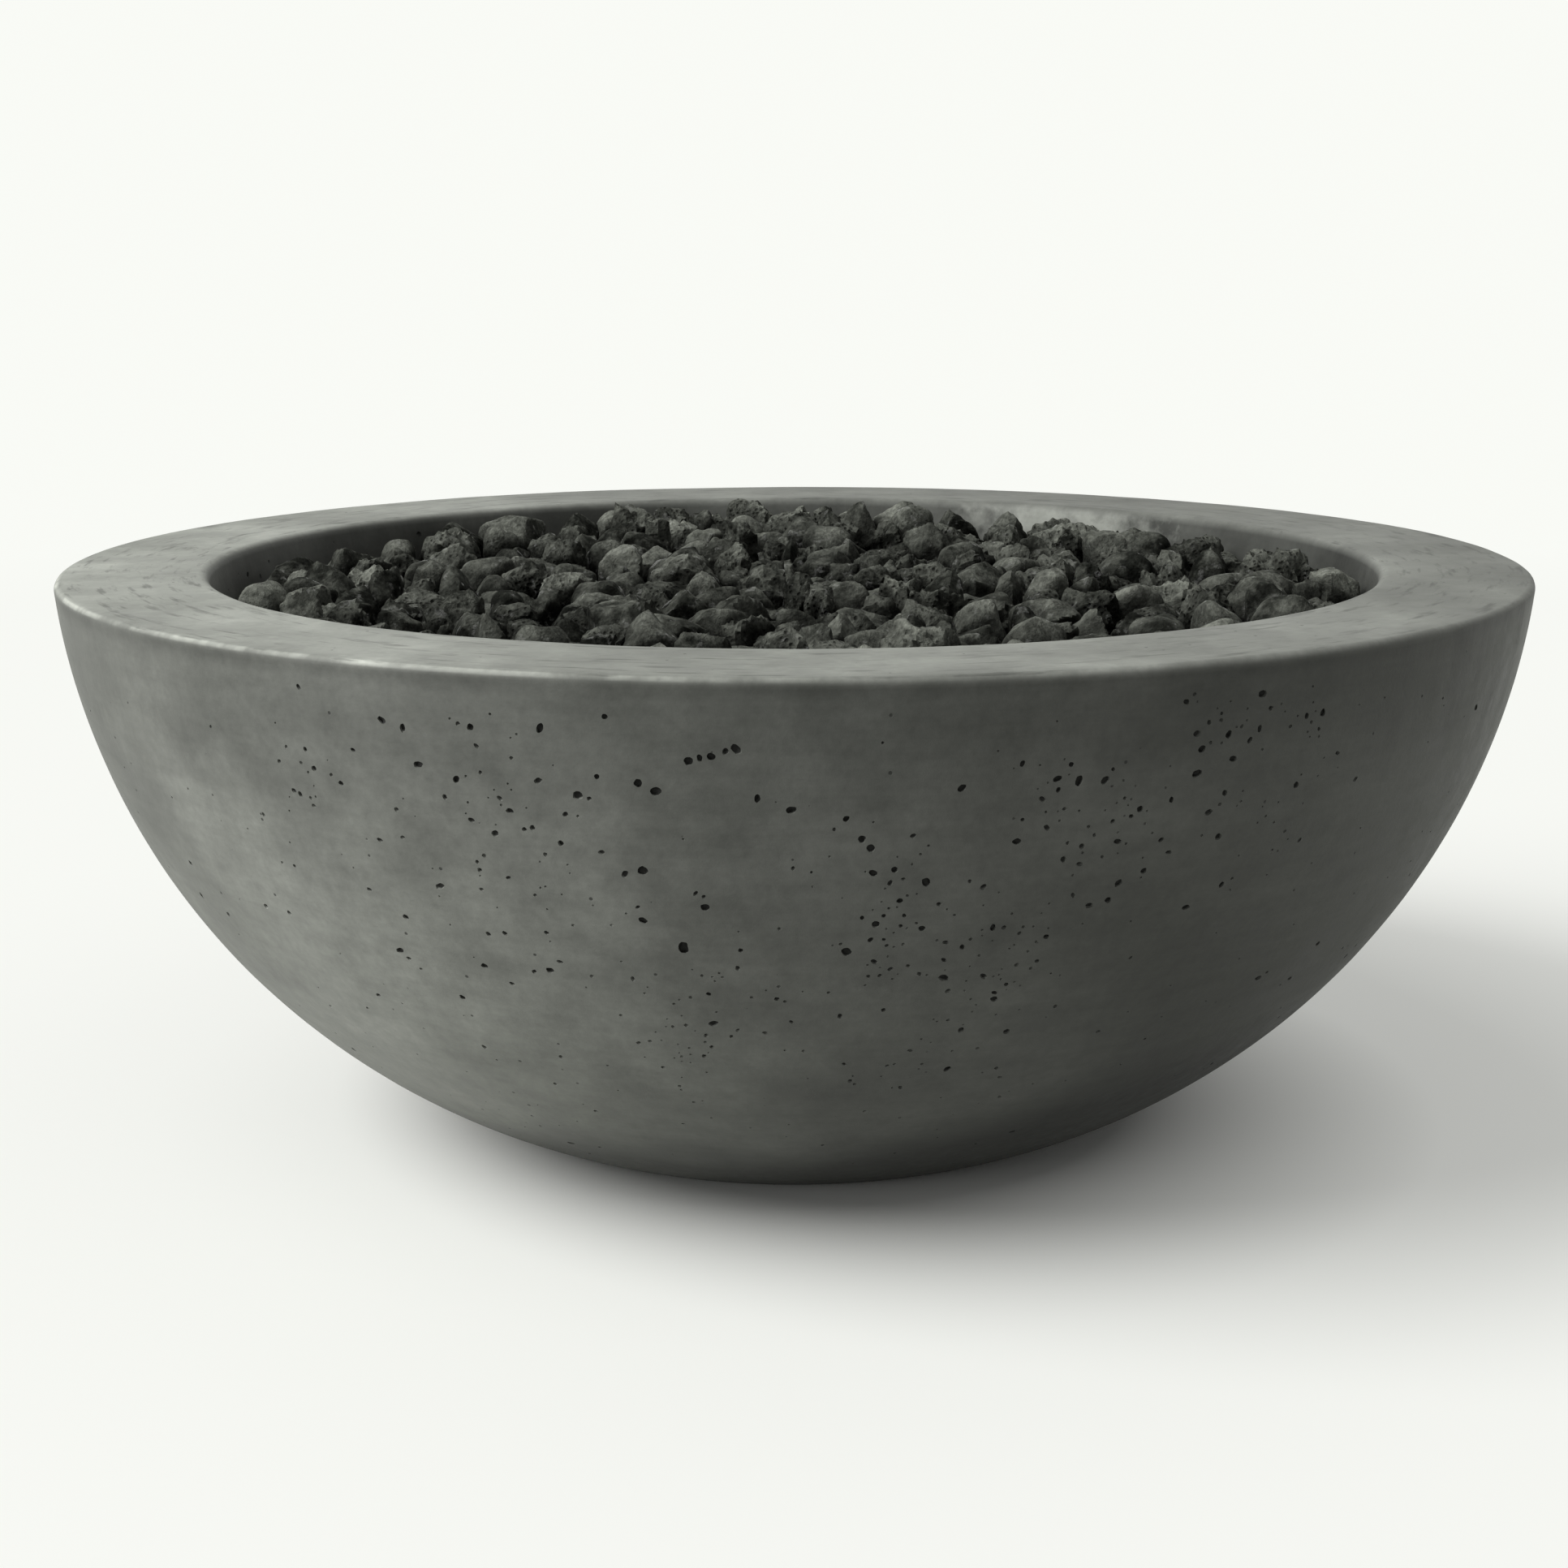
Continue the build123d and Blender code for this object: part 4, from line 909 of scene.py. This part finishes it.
def tinted(tree, share, first, second, way="MIX"):
    """Blends two colours."""
    inputs = {0: share, 6: first, 7: second}
    return put(tree, "ShaderNodeMix", inputs, data_type="RGBA", blend_type=way).outputs[2]


def product(tree, first, *others):
    """Product of values."""
    for other in others:
        first = sums(tree, "MULTIPLY", first, other)
    return first


def weighted(tree, *terms):
    """Sum of values, each with its own weight."""
    total = 0.0
    for value, weight in terms:
        total = sums(tree, "ADD", total, sums(tree, "MULTIPLY", value, weight))
    return total


def darkened(tree, colour, shade):
    """A colour times one value."""
    grey = put(tree, "ShaderNodeCombineColor", {0: shade, 1: shade, 2: shade}).outputs[0]
    return tinted(tree, 1.0, colour, grey, "MULTIPLY")


def object_place(tree):
    """The place that is being coloured, in the frame that all the parts share."""
    return put(tree, "ShaderNodeTexCoord").outputs["Object"]


def part_of(tree, arrow, axis):
    """The X, Y or Z part of a place or an arrow."""
    return put(tree, "ShaderNodeSeparateXYZ", {"Vector": arrow}).outputs[axis]


def arrow_of(tree, **parts):
    """An arrow from its X, Y and Z parts."""
    return put(tree, "ShaderNodeCombineXYZ", parts).outputs[0]


def flat_of(tree, place):
    """A place without its height."""
    return arrow_of(tree, X=part_of(tree, place, "X"), Y=part_of(tree, place, "Y"))


def length_of(tree, arrow):
    """Length of an arrow."""
    return put(tree, "ShaderNodeVectorMath", {0: arrow}, operation="LENGTH").outputs["Value"]


def distance_from(tree, place, point):
    """Distance of a place from a fixed point."""
    return put(tree, "ShaderNodeVectorMath", {0: place, 1: point}, operation="DISTANCE").outputs["Value"]


def strayed(tree, value, place, scale, detail, reach):
    """A value that strays up and down by this much, so that a stain gets a ragged edge."""
    stray = ranged(tree, cloud(tree, place, scale, detail, 0.6), 0.3, 0.7, -reach, reach)
    return sums(tree, "ADD", value, stray)


def raised(tree, shader, height, strength, distance):
    """Gives a shader's surface small heights."""
    bump = put(tree, "ShaderNodeBump", {"Height": height, "Strength": strength, "Distance": distance})
    tree.links.new(bump.outputs["Normal"], shader.inputs["Normal"])


def rim_streaks(tree, place):
    """Short dark marks that run round the rim, where it was trowelled and rubbed."""
    flat = flat_of(tree, place)
    around = put(tree, "ShaderNodeVectorMath", {0: flat}, operation="NORMALIZE").outputs[0]
    long = put(tree, "ShaderNodeVectorMath", {0: around, "Scale": 11.0}, operation="SCALE").outputs[0]
    fine = product(tree, length_of(tree, flat), 170.0)
    grain = arrow_of(tree, X=part_of(tree, long, "X"), Y=part_of(tree, long, "Y"), Z=fine)
    marks = cloud(tree, grain, 1.0, 3.0, 0.6)
    on_rim = ranged(tree, part_of(tree, place, "Z"), overall_height - 0.003, overall_height - 0.001)
    return product(tree, marks, on_rim), on_rim


def run_marks(tree, place, on_rim):
    """Tone of the faint marks where water ran down the outside, deepest on the right."""
    lined = put(tree, "ShaderNodeMapping", {"Vector": place, "Scale": (34.0, 34.0, 3.5)}).outputs[0]
    deep = ranged(tree, part_of(tree, place, "X"), *run_places, run_low_tone, run_high_tone)
    upper = ranged(tree, part_of(tree, place, "Z"), *run_levels)
    marks = ranged(tree, cloud(tree, lined, 1.0, 4.0, 0.6), 0.46, 0.64)
    outside = sums(tree, "SUBTRACT", 1.0, on_rim)
    return blended(tree, product(tree, marks, upper, outside), 1.0, deep)


def rim_mottle_and_painted_light(tree, place, on_rim):
    """Tone of the rim's flat top: cloudy mottling, with painted light that makes it palest on the left and
    painted shade at the back.
    """
    across = ranged(tree, part_of(tree, place, "X"), *rim_places, rim_painted_light_left, rim_painted_light_right)
    along = ranged(tree, part_of(tree, place, "Y"), *rim_back_places, 1.0, rim_painted_shade_back)
    cloudy = ranged(tree, cloud(tree, place, 15.0, 5.0, 0.65), 0.32, 0.68, 0.78, 1.20)
    return blended(tree, on_rim, 1.0, product(tree, across, along, cloudy))


def pinholes(tree, place, scale, share, size):
    """Fine round holes: 1 in a hole, 0 between them."""
    cells = put(tree, "ShaderNodeTexVoronoi", {"Vector": place, "Scale": scale})
    pick = put(tree, "ShaderNodeSeparateColor", {"Color": cells.outputs["Color"]}).outputs[0]
    reach = product(tree, ranged(tree, pick, 1 - share, 1.0), size)
    inside = sums(tree, "SUBTRACT", reach, cells.outputs["Distance"])
    return ranged(tree, inside, 0.0, size * 0.35)


def radial_distance(tree, place):
    """Height of a place, and its distance from the bowl's upright axis."""
    return part_of(tree, place, "Z"), length_of(tree, flat_of(tree, place))


def blended(tree, share, first, second):
    """Blends two values."""
    return put(tree, "ShaderNodeMix", {0: share, 2: first, 3: second}, data_type="FLOAT").outputs[0]


def basin_soot_and_painted_light(tree, place, level, radial):
    """Tone of the basin's wall: sooty, paler at the left and back and darker on the right, with one painted
    pool of light at the back.
    """
    from_top = ranged(tree, level, overall_height - 0.0006, overall_height - 0.006)
    within = ranged(tree, radial, opening_radius + 0.0125, opening_radius + 0.0085)
    above = ranged(tree, level, cavity_top_level, ledge_level)
    across = part_of(tree, place, "X")
    cloudy = ranged(tree, cloud(tree, place, 11.0, 4.0, 0.6), 0.36, 0.66, soot_low, soot_high)
    left = ranged(tree, across, *basin_left_places, basin_left_tone, basin_back_tone)
    right = ranged(tree, across, *basin_right_places, 1.0, basin_right_tone)
    away = strayed(tree, distance_from(tree, place, painted_light_patch_place), place, 38.0, 4.0, 0.035)
    patch = ranged(tree, away, *painted_light_patch_reach)
    tone = blended(tree, patch, product(tree, cloudy, left, right), painted_light_patch_tone)
    return blended(tree, product(tree, from_top, within, above), 1.0, tone)


def pit_shade(tree, level, radial):
    """Painted shade in the air holes' insides: the skin lies on an arc, what is deeper is dark."""
    out = sums(tree, "SUBTRACT", radial, arc_radial)
    down = sums(tree, "SUBTRACT", level, arc_level)
    reach = length_of(tree, arrow_of(tree, X=out, Y=down))
    deep = ranged(tree, reach, outer_arc_radius - 0.0007, outer_arc_radius - 0.0012)
    near = ranged(tree, reach, outer_arc_radius - 0.0075, outer_arc_radius - 0.0065)
    below_rim = ranged(tree, level, overall_height - 0.008, overall_height - 0.010)
    above_base = ranged(tree, level, 0.014, 0.018)
    return blended(tree, product(tree, deep, near, below_rim, above_base), 1.0, pit_tone)


def trowel_lines(tree, place):
    """Tone of faint level lines and blotches from wiping the casting's skin."""
    lined = put(tree, "ShaderNodeMapping", {"Vector": place, "Scale": (14.0, 14.0, 130.0)}).outputs[0]
    lines = ranged(tree, cloud(tree, lined, 1.0, 5.0, 0.62), 0.32, 0.68, 0.93, 1.06)
    blotches = ranged(tree, cloud(tree, place, 55.0, 4.0, 0.6), 0.50, 0.70, 1.0, 0.90)
    return product(tree, lines, blotches)


def flank_fade_and_painted_light(tree, place):
    """Tone of the paler area low on the left of the outside: partly a real paler patch, partly painted light
    from the left.
    """
    away = strayed(tree, distance_from(tree, place, flank_place), place, 9.0, 4.0, 0.05)
    return ranged(tree, away, *flank_reach, flank_tone, 1.0)


def foot_painted_shade(tree, place, level):
    """Painted shade on the foot and on the lower right side, which are darker than the rest."""
    across = part_of(tree, place, "X")
    deepest = ranged(tree, across, *foot_left_places, 1.0, foot_shade_tone)
    rise = ranged(tree, across, *foot_right_places, 0.0, foot_right_rise)
    ragged = sums(tree, "SUBTRACT", strayed(tree, level, place, 8.0, 3.0, 0.006), rise)
    foot = blended(tree, ranged(tree, ragged, foot_top, foot_bottom), 1.0, deepest)
    right = product(tree, ranged(tree, across, *lower_right_places), ranged(tree, level, *lower_right_levels))
    return product(tree, foot, blended(tree, right, 1.0, lower_right_shade_tone))


def rim_band_painted_shade(tree, place, level, radial):
    """Painted shade on the band under the rim, darker from the middle on, with a painted sheen at the right
    edge.
    """
    across = part_of(tree, place, "X")
    outside = ranged(tree, radial, opening_radius + 0.02, opening_radius + 0.04)
    below_rim = ranged(tree, level, overall_height - 0.003, overall_height - 0.006)
    band = product(tree, ranged(tree, level, *under_rim_levels), outside, below_rim)
    deepest = ranged(tree, across, *under_rim_places, 1.0, under_rim_shade_tone)
    deepest = blended(tree, ranged(tree, across, *right_edge_places), deepest, right_edge_sheen_tone)
    return blended(tree, band, 1.0, deepest)


def arris_painted_shade(tree, place, level, radial):
    """Painted shade: the dark line that runs under the rim's outer edge."""
    upper = ranged(tree, level, overall_height - 0.0022, overall_height - 0.0045)
    lower = ranged(tree, level, overall_height - 0.0130, overall_height - 0.0065)
    outside = ranged(tree, radial, rim_radius - 0.012, rim_radius - 0.009)
    broken = ranged(tree, cloud(tree, place, 13.0, 3.0, 0.6), 0.38, 0.62, 0.15, 1.0)
    return blended(tree, product(tree, upper, lower, outside, broken), 1.0, arris_shade_tone)


def arris_painted_highlight(tree, place, level, radial):
    """Painted highlight on the rim's outer edge, pale in broken stretches on the left."""
    left = ranged(tree, part_of(tree, place, "X"), *arris_highlight_places)
    upper = ranged(tree, level, overall_height - 0.0034, overall_height - 0.0022)
    top = ranged(tree, level, overall_height - 0.0002, overall_height - 0.0006)
    edge = ranged(tree, radial, rim_radius - 0.006, rim_radius - 0.0045)
    broken = ranged(tree, cloud(tree, place, 30.0, 3.0, 0.6), 0.42, 0.55)
    return blended(tree, product(tree, upper, top, edge, left, broken), 1.0, arris_highlight_tone)


def concrete_material():
    """Sealed grey concrete: soft clouds, fine mottling, pinholes, soot, run marks and rim marks, with painted
    light and shade on the rim, the lower left flank, the foot, under the rim and in the holes.
    """
    material, tree, shader = new_material("cast_concrete")
    place = object_place(tree)
    level, radial = radial_distance(tree, place)
    broad = cloud(tree, place, 6.0, 3.0, 0.55)
    patchy = cloud(tree, place, 24.0, 8.0, 0.68)
    fine = cloud(tree, place, 190.0, 4.0, 0.6)
    sand = cloud(tree, place, 1100.0, 2.0, 0.6)
    marks, on_rim = rim_streaks(tree, place)
    holes = pinholes(tree, place, 130.0, 0.16, 0.16)
    colour = tinted(tree, ranged(tree, broad, 0.34, 0.68), concrete_dark, concrete_pale)
    colour = tinted(tree, 0.45, colour, concrete_grey)
    # Some of these tones are painted light and shade: on the rim's top and outer edge, on the lower left
    # flank, in the air holes, on the foot and low on the right, and on the band under the rim
    colour = darkened(tree, colour, product(
        tree,
        ranged(tree, patchy, 0.30, 0.72, 0.80, 1.14),
        ranged(tree, fine, 0.30, 0.70, 0.91, 1.08),
        trowel_lines(tree, place),
        ranged(tree, marks, 0.55, 0.70, 1.0, 0.55),
        rim_mottle_and_painted_light(tree, place, on_rim),
        run_marks(tree, place, on_rim),
        flank_fade_and_painted_light(tree, place),
        basin_soot_and_painted_light(tree, place, level, radial),
        pit_shade(tree, level, radial),
        foot_painted_shade(tree, place, level),
        rim_band_painted_shade(tree, place, level, radial),
        arris_painted_shade(tree, place, level, radial),
        arris_painted_highlight(tree, place, level, radial),
    ))
    # The pinholes are darkened with painted shade, besides being sunk by the bump
    colour = tinted(tree, ranged(tree, holes, 0.0, 1.0, 0.0, 0.8), colour, pinhole_painted_shade)
    tree.links.new(colour, shader.inputs["Base Color"])
    gloss = ranged(tree, patchy, 0.3, 0.7, 0.46, 0.62)
    gloss = sums(tree, "ADD", gloss, ranged(tree, fine, 0.3, 0.7, -0.04, 0.04))
    tree.links.new(gloss, shader.inputs["Roughness"])
    shader.inputs["Specular IOR Level"].default_value = 0.15
    height = weighted(tree, (fine, 0.35), (sand, 0.12), (patchy, 0.9), (holes, -1.0), (marks, -0.25))
    raised(tree, shader, height, 0.35, 0.0012)
    return material


def painted_depth_shade(tree, place):
    """Painted shade on the stones: lightest on top, darkest deep between them and on their flanks."""
    facing = put(tree, "ShaderNodeNewGeometry").outputs["Normal"]
    level, upward = part_of(tree, place, "Z"), part_of(tree, facing, "Z")
    high = ranged(tree, level, bed_level + 0.018, overall_height - 0.008, lava_painted_deep_shade, 1.0)
    return product(tree, high, ranged(tree, upward, -0.2, 0.8, lava_painted_flank_shade, 1.0))


def lava_material():
    """Dull black lava, each stone in its own tone, some glassy spots, clinkers full of hollows, with painted
    shade in the hollows, deep between the stones and on their flanks.
    """
    material, tree, shader = new_material("lava_stone")
    place = object_place(tree)
    tone = put(tree, "ShaderNodeAttribute", attribute_name="rock_tone").outputs["Fac"]
    clinker = put(tree, "ShaderNodeAttribute", attribute_name="clinker").outputs["Fac"]
    dust = cloud(tree, place, 60.0, 4.0, 0.6)
    grain = cloud(tree, place, 300.0, 4.0, 0.65)
    grit = cloud(tree, place, 1000.0, 3.0, 0.65)
    cells = put(tree, "ShaderNodeTexVoronoi", {"Vector": place, "Scale": 260.0}).outputs["Distance"]
    hollow = product(tree, ranged(tree, cells, 0.10, 0.40, 1.0, 0.0), clinker)
    own = ranged(tree, sums(tree, "POWER", tone, 2.0), 0.0, 1.0, 0.14, 0.72)
    share = sums(tree, "ADD", own, ranged(tree, dust, 0.40, 0.68, -0.14, 0.42))
    grainy = ranged(tree, grain, 0.32, 0.68, 0.55, 1.35)
    # Painted shade in the clinkers' hollows, low between the stones and on their flanks
    hollow_painted_shade = ranged(tree, hollow, 0.0, 1.0, 1.0, 0.30)
    shade = product(tree, grainy, hollow_painted_shade, painted_depth_shade(tree, place))
    colour = darkened(tree, tinted(tree, share, lava_dark, lava_pale), shade)
    tree.links.new(colour, shader.inputs["Base Color"])
    glassy = ranged(tree, cloud(tree, place, 110.0, 3.0, 0.6), 0.60, 0.68)
    tree.links.new(ranged(tree, glassy, 0.0, 1.0, 0.80, 0.34), shader.inputs["Roughness"])
    gloss = ranged(tree, glassy, 0.0, 1.0, lava_dull_gloss, lava_glass_gloss)
    tree.links.new(gloss, shader.inputs["Specular IOR Level"])
    raised(tree, shader, weighted(tree, (grain, 1.0), (grit, 0.3), (hollow, -0.9)), 0.9, 0.003)
    return material


def granule_material():
    """Fine black lava gravel, with painted shade in the gaps between the grains."""
    material, tree, shader = new_material("lava_gravel")
    place = object_place(tree)
    grains = put(tree, "ShaderNodeTexVoronoi", {"Vector": place, "Scale": 260.0})
    tone = put(tree, "ShaderNodeSeparateColor", {"Color": grains.outputs["Color"]}).outputs[0]
    # Painted shade in the gaps between the grains; the same values give the grains their height
    edge = ranged(tree, grains.outputs["Distance"], 0.2, 0.7, 1.0, 0.25)
    colour = darkened(tree, tinted(tree, tone, gravel_dark, gravel_pale), edge)
    tree.links.new(colour, shader.inputs["Base Color"])
    shader.inputs["Roughness"].default_value = 0.85
    height = weighted(tree, (edge, 1.0), (cloud(tree, place, 900.0, 3.0), 0.3))
    raised(tree, shader, height, 0.9, 0.003)
    return material


def metal_material(name, colour, low_gloss, high_gloss, stretch, mark_depth):
    """Metal with fine brushed lines along one way, soft stains and small marks."""
    material, tree, shader = new_material(name)
    place = object_place(tree)
    lined = put(tree, "ShaderNodeMapping", {"Vector": place, "Scale": stretch}).outputs[0]
    brush = cloud(tree, lined, 1.0, 4.0, 0.6)
    stain = cloud(tree, place, 70.0, 4.0, 0.6)
    dark = tuple(0.72 * part for part in colour[:3]) + (1.0,)
    tree.links.new(tinted(tree, ranged(tree, stain, 0.35, 0.7), dark, colour), shader.inputs["Base Color"])
    gloss = ranged(tree, brush, 0.3, 0.7, low_gloss, high_gloss)
    gloss = sums(tree, "ADD", gloss, ranged(tree, stain, 0.3, 0.7, 0.06, 0.0))
    tree.links.new(gloss, shader.inputs["Roughness"])
    shader.inputs["Metallic"].default_value = 1.0
    raised(tree, shader, brush, mark_depth, 0.0004)
    return material


def soft_material(name, colour, roughness, scale):
    """Rubber or plastic with a fine moulded grain and slight fading."""
    material, tree, shader = new_material(name)
    place = object_place(tree)
    fade = cloud(tree, place, 40.0, 3.0)
    pale = tuple(min(1.0, 1.6 * part + 0.01) for part in colour[:3]) + (1.0,)
    tree.links.new(tinted(tree, ranged(tree, fade, 0.35, 0.75), colour, pale), shader.inputs["Base Color"])
    gloss = ranged(tree, fade, 0.3, 0.7, roughness - 0.06, roughness + 0.06)
    tree.links.new(gloss, shader.inputs["Roughness"])
    raised(tree, shader, cloud(tree, place, scale, 3.0), 0.25, 0.0004)
    return material


def dress_fittings():
    """Gives every metal, rubber and plastic part of the frame its material."""
    stainless = metal_material("brushed_stainless", (0.60, 0.60, 0.59, 1), 0.24, 0.40, (60, 60, 900), 0.25)
    flange = metal_material("satin_flange", (0.56, 0.56, 0.56, 1), 0.22, 0.36, (90, 90, 1400), 0.25)
    hose = metal_material("hose_steel", (0.55, 0.55, 0.54, 1), 0.30, 0.45, (500, 500, 500), 0.35)
    chrome = metal_material("key_chrome", (0.78, 0.78, 0.79, 1), 0.06, 0.16, (300, 60, 300), 0.08)
    brass = metal_material("turned_brass", (0.72, 0.50, 0.23, 1), 0.22, 0.38, (700, 700, 700), 0.25)
    pad = soft_material("pad_rubber", (0.020, 0.020, 0.020, 1), 0.78, 900.0)
    seal = soft_material("seal_rubber", (0.012, 0.012, 0.012, 1), 0.55, 1500.0)
    seat = soft_material("seat_plastic", (0.62, 0.62, 0.58, 1), 0.45, 1200.0)
    by_slot = {
        "stainless": stainless, "flange_steel": flange, "hose_steel": hose, "key_chrome": chrome,
        "brass": brass, "pad_rubber": pad, "seal_rubber": seal, "seat_plastic": seat,
        "granule": granule_material(),
    }
    for part in frame["record"]["subparts"]:
        material = by_slot.get(part["material_slot"])
        if material is not None:
            body = frame["nodes"][part["node"]]
            body.data.materials.clear()
            body.data.materials.append(material)


def seen_background(tree):
    """1 for rays that show the background: to the camera, in gloss or through glass."""
    rays = put(tree, "ShaderNodeLightPath").outputs
    shown = sums(tree, "MAXIMUM", rays["Is Camera Ray"], rays["Is Glossy Ray"])
    return sums(tree, "MAXIMUM", shown, rays["Is Transmission Ray"])


def floor_material():
    """Plain pale floor that keeps the shadow near the bowl and joins the backdrop; a glow, painted light,
    grows with the distance from the bowl and lifts the shadow farther out.
    """
    material, tree, shader = new_material("studio_floor")
    shown = seen_background(tree)
    tree.links.new(tinted(tree, shown, floor_bounce, floor_white), shader.inputs["Base Color"])
    shader.inputs["Roughness"].default_value = 1.0
    shader.inputs["Specular IOR Level"].default_value = 0.0
    away = length_of(tree, object_place(tree))
    # Painted light: the floor's glow grows with the distance from the bowl and lifts its shadow
    mid = ranged(tree, away, floor_near, floor_mid, 0.0, floor_mid_share)
    outer = ranged(tree, away, floor_far, floor_end, 0.0, floor_far_share)
    backdrop = ranged(tree, away, backdrop_start, backdrop_end)
    far = sums(tree, "MAXIMUM", sums(tree, "ADD", mid, outer), backdrop)
    share = product(tree, far, shown)
    glow = put(tree, "ShaderNodeEmission", {"Color": backdrop_white, "Strength": 1.0})
    mix = put(tree, "ShaderNodeMixShader", {0: share, 1: shader.outputs[0], 2: glow.outputs[0]})
    tree.links.new(mix.outputs[0], tree.nodes["Material Output"].inputs["Surface"])
    return material


def make_floor():
    """The studio floor."""
    bpy.ops.object.select_all(action="DESELECT")
    bpy.ops.mesh.primitive_circle_add(vertices=96, radius=24.0, fill_type="NGON")
    floor = bpy.context.object
    floor.name = "studio_floor"
    floor.data.materials.append(floor_material())


def make_lights():
    """A soft lamp from the left, a low pale board beside it, and an even sky."""
    sun = bpy.data.objects.new("soft_key", bpy.data.lights.new("soft_key", "SUN"))
    sun.data.energy = sun_strength
    sun.data.angle = sun_spread
    sun.rotation_euler = sun_towards.to_track_quat("Z", "Y").to_euler()
    board = bpy.data.objects.new("left_board", bpy.data.lights.new("left_board", "AREA"))
    board.data.shape = "RECTANGLE"
    board.data.energy = board_power
    board.data.size = board_width
    board.data.size_y = board_height
    board.location = board_place
    board.rotation_euler = (board_place - board_aim).to_track_quat("Z", "Y").to_euler()
    board.visible_camera = False
    for lamp in (sun, board):
        bpy.context.scene.collection.objects.link(lamp)
    world = bpy.data.worlds.new("studio_sky")
    world.use_nodes = True
    bpy.context.scene.world = world
    tree = world.node_tree
    sky = tree.nodes["Background"]
    shown = seen_background(tree)
    tree.links.new(tinted(tree, shown, (1.0, 1.0, 1.0, 1.0), backdrop_white), sky.inputs["Color"])
    tree.links.new(ranged(tree, shown, 0.0, 1.0, sky_strength, 1.0), sky.inputs["Strength"])


def make_camera():
    """The camera, where the photograph was taken from."""
    camera = bpy.data.objects.new("photo_camera", bpy.data.cameras.new("photo_camera"))
    camera.data.lens = camera_lens
    camera.data.sensor_width = camera_sensor
    camera.location = camera_place
    camera.rotation_euler = camera_turn().to_euler()
    bpy.context.scene.collection.objects.link(camera)
    bpy.context.scene.camera = camera


def make_lava():
    """The rocks of every ring, and the small stones and chips between them, in one material."""
    stone = lava_material()
    start, start_faces = rock_start()
    all_hulls, all_rocks, pieces = [], [], []
    for number, node in enumerate(rock_ring_nodes, 1):
        hulls = rock_hulls(node)
        piece, rocks = make_rocks(node, number, hulls, start, start_faces)
        all_hulls += hulls
        all_rocks.append(rocks)
        pieces.append(piece)
    pieces.append(make_small_rocks(all_rocks, *pit_shape(4)))
    pieces.append(make_chips(all_hulls))
    for piece in pieces:
        piece.data.materials.append(stone)


make_camera()
make_bowl()
make_lava()
dress_fittings()
make_floor()
make_lights()
bpy.context.scene.view_settings.view_transform = "Standard"
